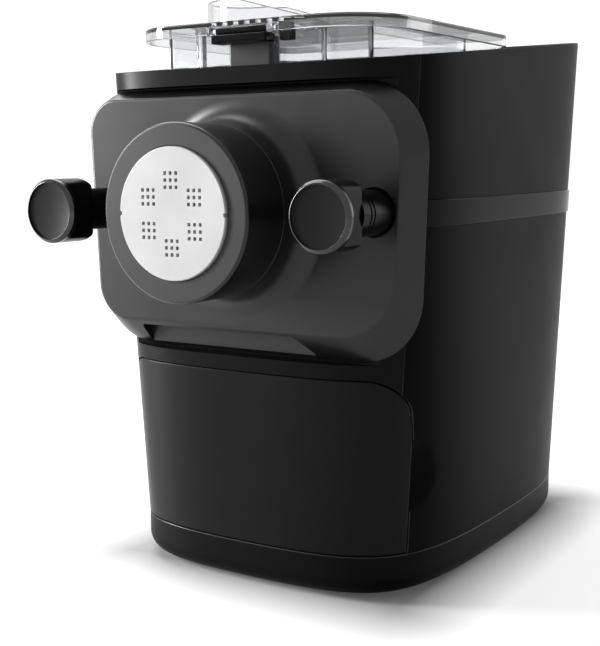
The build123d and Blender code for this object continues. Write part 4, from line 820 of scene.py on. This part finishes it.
def drawerShapes(d):
    # columns across the front, rows up to a top edge that is an arc near its ends: top - corner + sqrt(corner^2 -
    # beyond^2); the rim falls away by the edge radius
    straight, height = d["half"] - d["corner"], d["top"] - d["low"]
    border = d["edge"] * np.array([0, 0.1, 0.3, 0.6, 1.0])
    bend = straight + d["corner"] * np.sin(np.linspace(0, math.pi / 2, 26))
    middle = np.linspace(0, straight / d["edgeX"], 30)[:-1]
    right = np.concatenate([middle, bend[bend < d["bendEnd"]] / d["edgeX"], 1 - border[::-1] / d["edgeX"]])
    across = np.concatenate([-right[:0:-1], right])
    rise = np.concatenate([border, np.linspace(1.6, 104, 60), [104.4, 104.6, 104.8, 104.9, 105.0]]) / height
    rise = rise[:, None]

    def wall(inset):
        # points, normals and distances to the border; top and width depend on each other, so three rounds
        z = np.repeat(d["low"] + rise * height, len(across), 1)
        for _ in range(3):
            x = across * np.abs(planPoints(shareAt(1, d["edgeY"], z, inset) + 2, z, inset)[..., 0])
            beyond = np.clip(np.abs(x) - straight, 0, d["corner"])
            top = d["top"] - d["corner"] + np.sqrt(d["corner"] ** 2 - beyond**2)
            z = d["low"] + rise * (top - d["low"])
        share = shareAt(0, x, z, inset)
        place = np.where(x < 0, 2 + share, 4 - share)
        fromTop = (top - z) * np.sqrt(1 - (beyond / d["corner"]) ** 2)
        distance = np.minimum(np.minimum(fromTop, z - d["low"]), (1 - np.abs(across)) * d["edgeX"])
        return planPoints(place, z, inset), planNormals(place, z), distance

    outer, normals, distance = wall(0.0)
    inner = wall(d["wall"])[0]
    outer = outer - normals * edgeDrop(distance, d["edge"])[..., None]
    around = [np.concatenate([g[0], g[1:, -1], g[-1, -2::-1], g[-2:0:-1, 0]]) for g in (outer, inner)]
    shapes = [sheet(outer), sheet(inner), tube(*around)]
    for x in (-d["ribX"], d["ribX"]):
        low = (x - d["ribHalf"], d["ribFront"], d["ribLow"])
        shapes += slab(low, (x + d["ribHalf"], d["ribBack"], d["ribHigh"]))
    return shapes


drawerMesh = joinedMesh("drawerFront", drawerShapes(drawer))
finishPiece(drawerMesh, "satinBody", "drawer", ["drawer_front"], 34)

# holes gives the radius, steps, side distance and depths of the foot and screw holes
tray = dict(
    bottom=2.0, floor=5.0, corner=12.0, innerCorner=9.0, wall=3.0, edge=0.6, holeDepth=1.5, edgeHighlightZ=26.95,
    holes=((9.3, 40, 78.0, (-63.3, 126.0)), (3.7, 24, 90.0, (-41.3, 78.0))),
)


def trayShapes(t):
    # loops of the seam outline, drawn in along its level normals by the rounded seam edge and by the quarter
    # circle at the bottom
    w = np.arange(240) * 4 / 240
    seamZ = np.full(len(w), plan["lowZ"])
    seam, normals = planPoints(w, seamZ), planNormals(w, seamZ)
    normals[:, 2] = 0
    normals /= np.linalg.norm(normals, axis=1, keepdims=True)

    def loops(pairs):
        # one loop for each (inset, height): the seam less inset times its normal
        points = seam[None] - normals[None] * pairs[:, :1, None]
        points[..., 2] = pairs[:, 1:]
        return points

    turn, border = np.linspace(0, math.pi / 2, 14), t["edge"] * edgeShares
    rise, drop = np.sin(turn), 1 - np.cos(turn)
    top = np.column_stack([edgeDrop(border, t["edge"]), plan["lowZ"] - border])
    side = np.column_stack([t["corner"] * drop, t["bottom"] + t["corner"] * (1 - rise)])
    inner = np.column_stack([t["wall"] + t["innerCorner"] * drop, t["floor"] + t["innerCorner"] * (1 - rise)])[::-1]
    points = loops(np.concatenate([top, side, [[t["corner"], t["bottom"]]]]))
    inside = loops(np.concatenate([inner, [[t["wall"], plan["lowZ"]]]]))
    holes = [
        circleLoop(radius, sign * x, y, steps) for radius, steps, x, depths in t["holes"] for sign in (-1, 1)
        for y in depths
    ]
    shapes = [
        sheet(points, closeColumns=True), sheet(inside, closeColumns=True), tube(inside[-1], points[0]),
        levelFace([points[-1][:, :2]] + holes, t["bottom"]), levelFace([inside[0][:, :2]], t["floor"]),
    ]
    holeTop = t["bottom"] + t["holeDepth"]
    for hole in holes:
        shapes += [tube(atHeight(hole, t["bottom"]), atHeight(hole, holeTop)), levelFace([hole], holeTop)]
    return shapes


def traySeamHighlightFaces(normals, middles):
    # faces of the rounded seam edge: close under the seam and neither level nor upright; they get a painted
    # highlight
    return (middles[:, 2] > tray["edgeHighlightZ"]) & (normals[:, 2] > 0.1) & (normals[:, 2] < 0.9)


trayMesh = joinedMesh("baseTray", trayShapes(tray))
finishPiece(trayMesh, "satinBase", "housing", ["base_tray"], 34)
# the upward rounded seam edge gets the painted edge highlight
secondLook(trayMesh, "paintedEdgeHighlight", traySeamHighlightFaces)
print("band, drawer and base made")

# lid with its water inlet, and the latch

lid = dict(
    half=91.5, frontY=-111.3, backY=79.7, low=332.0, high=339.6, under=337.1, wall=2.5, frontCorner=42.0,
    backCorner=16.0, edge=1.0, inletX=40.0, inletDepth=28.0, inletY=-79.3, inletWall=2.2, inletTop=353.1,
    levelX=-5.0, tilt=16.0, lip=0.8, slots=7, slotPitch=8.0, slotLength=34.0, slotWidth=4.0, notch=20.4,
    pinY=-104.0, pinZ=334.2, barrel=2.6, ear=3.0,
)


def lidLoop(p, inset):
    # the lid's plan, its sides and radii less by inset
    low, high, half = p["frontY"] + inset, p["backY"] - inset, p["half"] - inset
    radii = [p["frontCorner"] - inset] * 2 + [p["backCorner"] - inset] * 2
    return roundedLoop([(-half, low), (half, low), (half, high), (-half, high)], radii, 20)


def inletLoop(p, inset):
    # an ellipse, x = a cos t and y = b sin t, with both halves less by inset
    turn = np.arange(120) * math.pi / 60
    x, y = (p["inletX"] - inset) * np.cos(turn), p["inletY"] + (p["inletDepth"] - inset) * np.sin(turn)
    return np.column_stack([x, y])


def lidShapes(p):
    # rows of (inset, height) from under the top plate over the skirt to the plate; the inlet's wall goes up, over
    # its lip and down, and its top falls by tan(tilt) right of levelX
    low, high, edge = p["low"], p["high"], p["edge"] + 1
    section = [(p["wall"], p["under"]), (p["wall"], low), (0, low), (0, high), (edge, high)]
    skirt = [atHeight(lidLoop(p, inset), z) for inset, z in softPath(section, (0, 0.5, 0.6, p["edge"], 0))]
    rim, wall = [], p["inletWall"]
    lipRows = [(0, 0), (0, 1), (0.12, 0.6), (0.35, 0.25), (0.8, 0)]
    lipRows += [(wall - 0.8, 0), (wall - 0.28, 0.25), (wall - 0.1, 0.6), (wall, 1), (wall, 0)]
    for inset, drop in lipRows:
        loop = inletLoop(p, inset)
        top = p["inletTop"] - np.maximum(loop[:, 0] - p["levelX"], 0) * math.tan(math.radians(p["tilt"]))
        lip = np.minimum(p["lip"], 0.4 * (top - high))
        rim.append(atHeight(loop, top - lip * drop))
    rim[0][:, 2] = rim[-1][:, 2] = high
    slot = rectLoop(0, p["inletY"], p["slotWidth"] / 2, p["slotLength"] / 2, p["slotWidth"] / 2 - 0.01, 6)
    slots = [slot + [(k - p["slots"] // 2) * p["slotPitch"], 0] for k in range(p["slots"])]
    shapes = [
        tube(*skirt), tube(*rim), levelFace([lidLoop(p, edge), rim[0][:, :2]], high),
        levelFace([rim[-1][:, :2]] + slots, high), levelFace([lidLoop(p, p["wall"])] + slots, p["under"]),
    ]
    return shapes + [tube(atHeight(loop, high), atHeight(loop, p["under"])) for loop in slots]


def lidChanges(p):
    # takes the latch's notch out of the front edge and joins an ear at each side of it
    near, far = p["notch"], p["notch"] + p["ear"]
    notch = slab((-near, p["frontY"] - 2, p["low"] - 1), (near, p["pinY"], p["under"] - 0.2))
    ears = []
    for left, right in ((-far, -near), (near, far)):
        low = (left, p["frontY"] + 0.4, p["pinZ"] - p["barrel"])
        ears += slab(low, (right, p["pinY"] + p["barrel"], p["under"] + 0.6))
    return [("DIFFERENCE", notch), ("UNION", ears)]


def lidPaintedShadeFaces(normals, middles):
    # faces that lean, below the inlet's top, and the skirt's flat underside, which get painted dark edges
    lean = (np.abs(normals[:, 2]) > 0.12) & (np.abs(normals[:, 2]) < 0.97)
    return lean & (middles[:, 2] < lid["inletTop"] - 0.5) | (np.abs(middles[:, 2] - lid["low"]) < 0.05)


lidMesh = solidChange(joinedMesh("lidShell", lidShapes(lid)), lidChanges(lid))
finishPiece(lidMesh, "clearPlastic", "lid", ["lid"], 30)
# the lid's leaning faces and underside get the painted dark edge
secondLook(lidMesh, "clearPaintedDarkEdge", lidPaintedShadeFaces)

latch = dict(
    half=19.5, frontY=-111.3, backY=-100.3, low=326.7, high=331.8, edge=0.9, barrelEdge=0.4,
    grip=(0, 326.1, 14, 2.1, 0.6), gripFront=-113, gripBack=-110.5,
)


def latchChanges(p):
    # joins the barrel round the pin and takes out the groove for a finger
    barrel = turnedAlongX(lid["barrel"], 0, lid["pinY"], lid["pinZ"], p["half"], p["barrelEdge"])
    return [("UNION", [barrel]), ("DIFFERENCE", prism(rectLoop(*p["grip"]), p["gripFront"], p["gripBack"]))]


latchLow = (-latch["half"], latch["frontY"], latch["low"])
latchHigh = (latch["half"], latch["backY"], latch["high"])
latchPlate = joinedMesh("lidLatch", [softBlock(latchLow, latchHigh, latch["edge"])])
latchMesh = solidChange(latchPlate, latchChanges(latch))
finishPiece(latchMesh, "knobDark", "latch", ["lid_latch"], 30)
print("lid made:", len(lidMesh.polygons), "faces")

# mixing chamber and the deck round it

chamber = dict(
    half=74.0, bottomRadius=54.5, flareZ=298.0, top=336.8, wall=2.5, frontY=-83.8, backY=43.2, corner=2.4,
    bayHalf=47.0, bayFront=-90.8, bayBack=-60, bayLow=308.8, planLow=150, planHigh=350, hollowTop=345.0,
    tubeRadius=24.0, tubeCut=(-85, -80), sealRadius=12.04, sealCut=(39, 45),
)


def chamberLoop(p, inset, top):
    # round trough, then the line from its tangent point to the foot of the upright side: the point lies at
    # atan2(rise, half) - acos(radius / distance)
    radius, half, rise = p["bottomRadius"] - inset, p["half"] - inset, p["flareZ"] - axisHeight
    reach = math.atan2(rise, half) - math.acos(radius / math.hypot(half, rise))
    turn = np.linspace(reach, -math.pi - reach, 72)
    trough = np.column_stack([radius * np.cos(turn), axisHeight + radius * np.sin(turn)])
    return np.concatenate([trough, [(-half, p["flareZ"]), (-half, top), (half, top), (half, p["flareZ"])]])


def uprightBlock(front, back, half, corner, low, high):
    # a closed block between two depths and two heights, with rounded upright corners
    return prismUp(rectLoop(0, (front + back) / 2, half, (back - front) / 2, corner, 6), low, high)


def chamberBody(p, inset, top):
    # the section carried along Y, cut to a plan with rounded corners, with the bay at the front joined on
    front, back, corner = p["frontY"] + inset, p["backY"] - inset, max(p["corner"] - inset, 0.6)
    kept = uprightBlock(front, back, p["half"] - inset, corner, p["planLow"], p["planHigh"])
    bayFront, bayHalf = p["bayFront"] + inset, p["bayHalf"] - inset
    bay = uprightBlock(bayFront, p["bayBack"], bayHalf, corner, p["bayLow"] + inset, top)
    body = joinedMesh("chamber", prism(chamberLoop(p, inset, top), front - 1, back + 1))
    return solidChange(body, [("INTERSECT", kept), ("UNION", bay)])


def chamberPaintedShadeFaces(normals, middles):
    # faces of the rounded upright corners and of the top, which get painted dark edges
    upright = (np.abs(normals[:, :2]).min(1) > 0.1) & (np.abs(normals[:, 2]) < 0.05)
    return upright | (middles[:, 2] > chamber["top"] - 0.05)


chamberHoles = prism(circleLoop(chamber["tubeRadius"], 0, axisHeight, 72), *chamber["tubeCut"])
chamberHoles += prism(circleLoop(chamber["sealRadius"], 0, axisHeight, 48), *chamber["sealCut"])
chamberHollow = shapeOf(chamberBody(chamber, chamber["wall"], chamber["hollowTop"]))
chamberCuts = [("DIFFERENCE", [chamberHollow]), ("DIFFERENCE", chamberHoles)]
chamberMesh = solidChange(chamberBody(chamber, 0, chamber["top"]), chamberCuts)
chamberMesh.name = "mixingChamber"
finishPiece(chamberMesh, "clearPlastic", "housing", ["mixing_chamber"], 40)
# the chamber's corners and top get the painted dark edge
secondLook(chamberMesh, "clearPaintedDarkEdge", chamberPaintedShadeFaces)

deck = dict(inset=3.3, top=5.0, bottom=8.0, opening=(0, -23.8, 75.5, 68.5, 4.5), glass=(0, 116.1, 70.0, 24.0, 3.0))


def onSlope(flat, drop):
    # a plan laid on the rim's slope, sunk by drop / cos(slope)
    return atHeight(flat, rimHeight(flat[:, 1]) - drop / math.cos(math.radians(housing["rimSlope"])))


def deckShapes(p):
    # both faces lie on the rim's slope; the outline follows the housing at that height, found in four rounds
    w = np.arange(240) * 4 / 240
    faces = []
    for drop in (p["top"], p["bottom"]):
        z = np.full(len(w), 320.0)
        for _ in range(4):
            outline = planPoints(w, z, p["inset"])[:, :2]
            z = onSlope(outline, drop)[:, 2]
        faces.append([outline, rectLoop(*p["opening"], 8), rectLoop(*p["glass"], 4)])
    shapes = [tube(onSlope(a, p["top"]), onSlope(b, p["bottom"])) for a, b in zip(*faces)]
    for loops, drop in zip(faces, (p["top"], p["bottom"])):
        shapes.append(flatFace(loops, lambda flat: onSlope(flat, drop)))
    return shapes


finishPiece(joinedMesh("topDeck", deckShapes(deck)), "satinBase", "housing", ["top_deck"], 30)
print("chamber made:", len(chamberMesh.polygons), "faces")

# camera, floor and lamps

cameraPlace = dict(spot=(0.4090, -0.6806, 0.2595), azimuth=32.84, pitch=7.95, roll=-0.51, lens=65.6)


def placeItem(name, data, spot, turn):
    # a new object at a spot, its turn given as a quaternion
    item = bpy.data.objects.new(name, data)
    bpy.context.scene.collection.objects.link(item)
    item.rotation_mode = "QUATERNION"
    item.location, item.rotation_quaternion = spot, turn
    return item


def aimCamera(place):
    # the lens looks along minus (sin a cos p, -cos a cos p, sin p), then turns by the roll about its own axis
    azimuth, pitch = math.radians(place["azimuth"]), math.radians(place["pitch"])
    back = Vector((math.sin(azimuth) * math.cos(pitch), -math.cos(azimuth) * math.cos(pitch), math.sin(pitch)))
    roll = Matrix.Rotation(math.radians(place["roll"]), 3, "Z").to_quaternion()
    data = bpy.data.cameras.new("camera")
    data.sensor_width, data.sensor_fit, data.lens = 36.0, "AUTO", place["lens"]
    data.clip_start, data.clip_end = 0.02, 20.0
    camera = placeItem("camera", data, place["spot"], (-back).to_track_quat("-Z", "Y") @ roll)
    bpy.context.scene.camera = camera


aimCamera(cameraPlace)

# middle and halfBase are the object's footprint; the glow list pairs a distance from it with a strength, lowest
# near the footprint, where it is a painted shadow round the base
stageLook = dict(
    half=4.5, curve=1.2, wallTop=4.0, back=3.0, colour=(0.3, 0.3, 0.302), roughness=0.6, grain=300.0, bump=0.02,
    middle=(0, 0.03, 0), halfBase=(0.1, 0.13, 1), glowWithPaintedShadow=((0.0, 0.06), (0.05, 0.78), (1.3, 0.97)),
)


def shownRays(tree, mix):
    # the mix shows its second shader to camera, glossy and transmitted rays: its factor is the highest flag
    path = addNodes(tree, "LightPath")[0]
    flag = path.outputs["Is Camera Ray"]
    for kind in ("Is Glossy Ray", "Is Transmission Ray"):
        either = addNodes(tree, "Math")[0]
        either.operation = "MAXIMUM"
        tree.links.new(flag, either.inputs[0])
        wire(tree, (path, kind, either, 1))
        flag = either.outputs["Value"]
    tree.links.new(flag, mix.inputs["Fac"])


def floorMaterial(look):
    # paper that is shown whiter by its distance |max(|p - middle| - halfBase, 0)| from the object's footprint; the
    # glow is kept low close to it, a painted shadow round the base
    material, tree = newMaterial("floorPaper")
    coords, shader, output, glow, lifted, mix, climb, reach = addNodes(
        tree, "TexCoord", "BsdfPrincipled", "OutputMaterial", "Emission", "AddShader", "MixShader", "ValToRGB",
        "Math",
    )
    setInputs(shader, {"Roughness": look["roughness"], "Base Color": (*look["colour"], 1)})
    bumpFrom(tree, noiseAt(tree, coords, look["grain"], 2.0), shader, {"Strength": look["bump"]})
    steps = (
        ("SUBTRACT", look["middle"]), ("ABSOLUTE", None), ("SUBTRACT", look["halfBase"]), ("MAXIMUM", (0, 0, 0)),
        ("LENGTH", None),
    )
    vector = coords.outputs["Object"]
    for operation, value in steps:
        away = addNodes(tree, "VectorMath")[0]
        away.operation = operation
        tree.links.new(vector, away.inputs[0])
        if value:
            away.inputs[1].default_value = value
        vector = away.outputs["Value" if operation == "LENGTH" else "Vector"]
    farthest = look["glowWithPaintedShadow"][-1][0]
    reach.operation, reach.inputs[1].default_value = "DIVIDE", farthest
    # low glow near the footprint: painted shadow
    climb.color_ramp.elements.new(0.5)
    for element, (distance, strength) in zip(climb.color_ramp.elements, look["glowWithPaintedShadow"]):
        element.position, element.color = distance / farthest, (strength, strength, strength, 1)
    tree.links.new(vector, reach.inputs[0])
    wire(
        tree, (reach, "Value", climb, "Fac"), (climb, "Color", glow, "Color"), (shader, "BSDF", lifted, 0),
        (glow, "Emission", lifted, 1),
    )
    shownRays(tree, mix)
    wire(tree, (shader, "BSDF", mix, 1), (lifted, "Shader", mix, 2), (mix, "Shader", output, "Surface"))
    return material


def studioFloor(look):
    # a flat floor that bends up into a wall behind, by a quarter circle
    along = np.linspace(-1, 1, 33) * look["half"]
    bend = np.linspace(0, math.pi / 2, 17)
    curve, back = look["curve"], look["back"]
    y = np.concatenate([[-look["half"]], back + curve * np.sin(bend), [back + curve]])
    z = np.concatenate([[0.0], curve * (1 - np.cos(bend)), [look["wallTop"]]])
    points, faces = sheet(np.stack(np.broadcast_arrays(along[:, None], y, z), -1))
    mesh = bpy.data.meshes.new("floor")
    mesh.from_pydata(points.tolist(), [], faces)
    mesh.polygons.foreach_set("use_smooth", np.ones(len(mesh.polygons), bool))
    mesh.materials.append(floorMaterial(look))
    floor = bpy.data.objects.new("floor", mesh)
    bpy.context.scene.collection.objects.link(floor)


studioFloor(stageLook)

lamps = {
    "keyLeft": dict(spot=(-1.74, -0.86, 0.68), aim=(-0.1, -0.1, 0.25), size=(0.4, 1.1), power=43, spread=130),
    "fillRight": dict(spot=(1.2, 1.75, 0.75), aim=(0.1, 0.05, 0.2), size=(0.4, 1.2), power=1.5, spread=130),
    "topSoft": dict(spot=(-0.9, 0.5, 1.75), aim=(0, 0, 0), size=(1.4, 1.4), power=15, spread=110),
}


def softLamp(name, look):
    # a rectangular lamp whose light leaves along its aim less its spot
    data = bpy.data.lights.new(name, "AREA")
    data.shape, data.size, data.size_y, data.energy = "RECTANGLE", *look["size"], look["power"]
    data.spread = math.radians(look["spread"])
    placeItem(name, data, look["spot"], (Vector(look["aim"]) - Vector(look["spot"])).to_track_quat("-Z", "Y"))


for lampName, lampLook in lamps.items():
    softLamp(lampName, lampLook)

sky = dict(room=0.3, seen=1.0)


def studioSky(look):
    # white light: one strength lights the room, the other is what camera, glossy and transmitted rays meet
    world = bpy.data.worlds.new("studio")
    world.use_nodes = True
    tree = world.node_tree
    tree.nodes.clear()
    room, seen, mix, output = addNodes(tree, "Background", "Background", "MixShader", "OutputWorld")
    shownRays(tree, mix)
    for place, (node, strength) in enumerate(((room, look["room"]), (seen, look["seen"])), 1):
        setInputs(node, {"Color": (1, 1, 1, 1), "Strength": strength})
        wire(tree, (node, "Background", mix, place))
    wire(tree, (mix, "Shader", output, "Surface"))
    return world


scene = bpy.context.scene
scene.view_settings.view_transform = "Standard"
scene.world = studioSky(sky)
print("stage set:", len(lamps), "lamps")
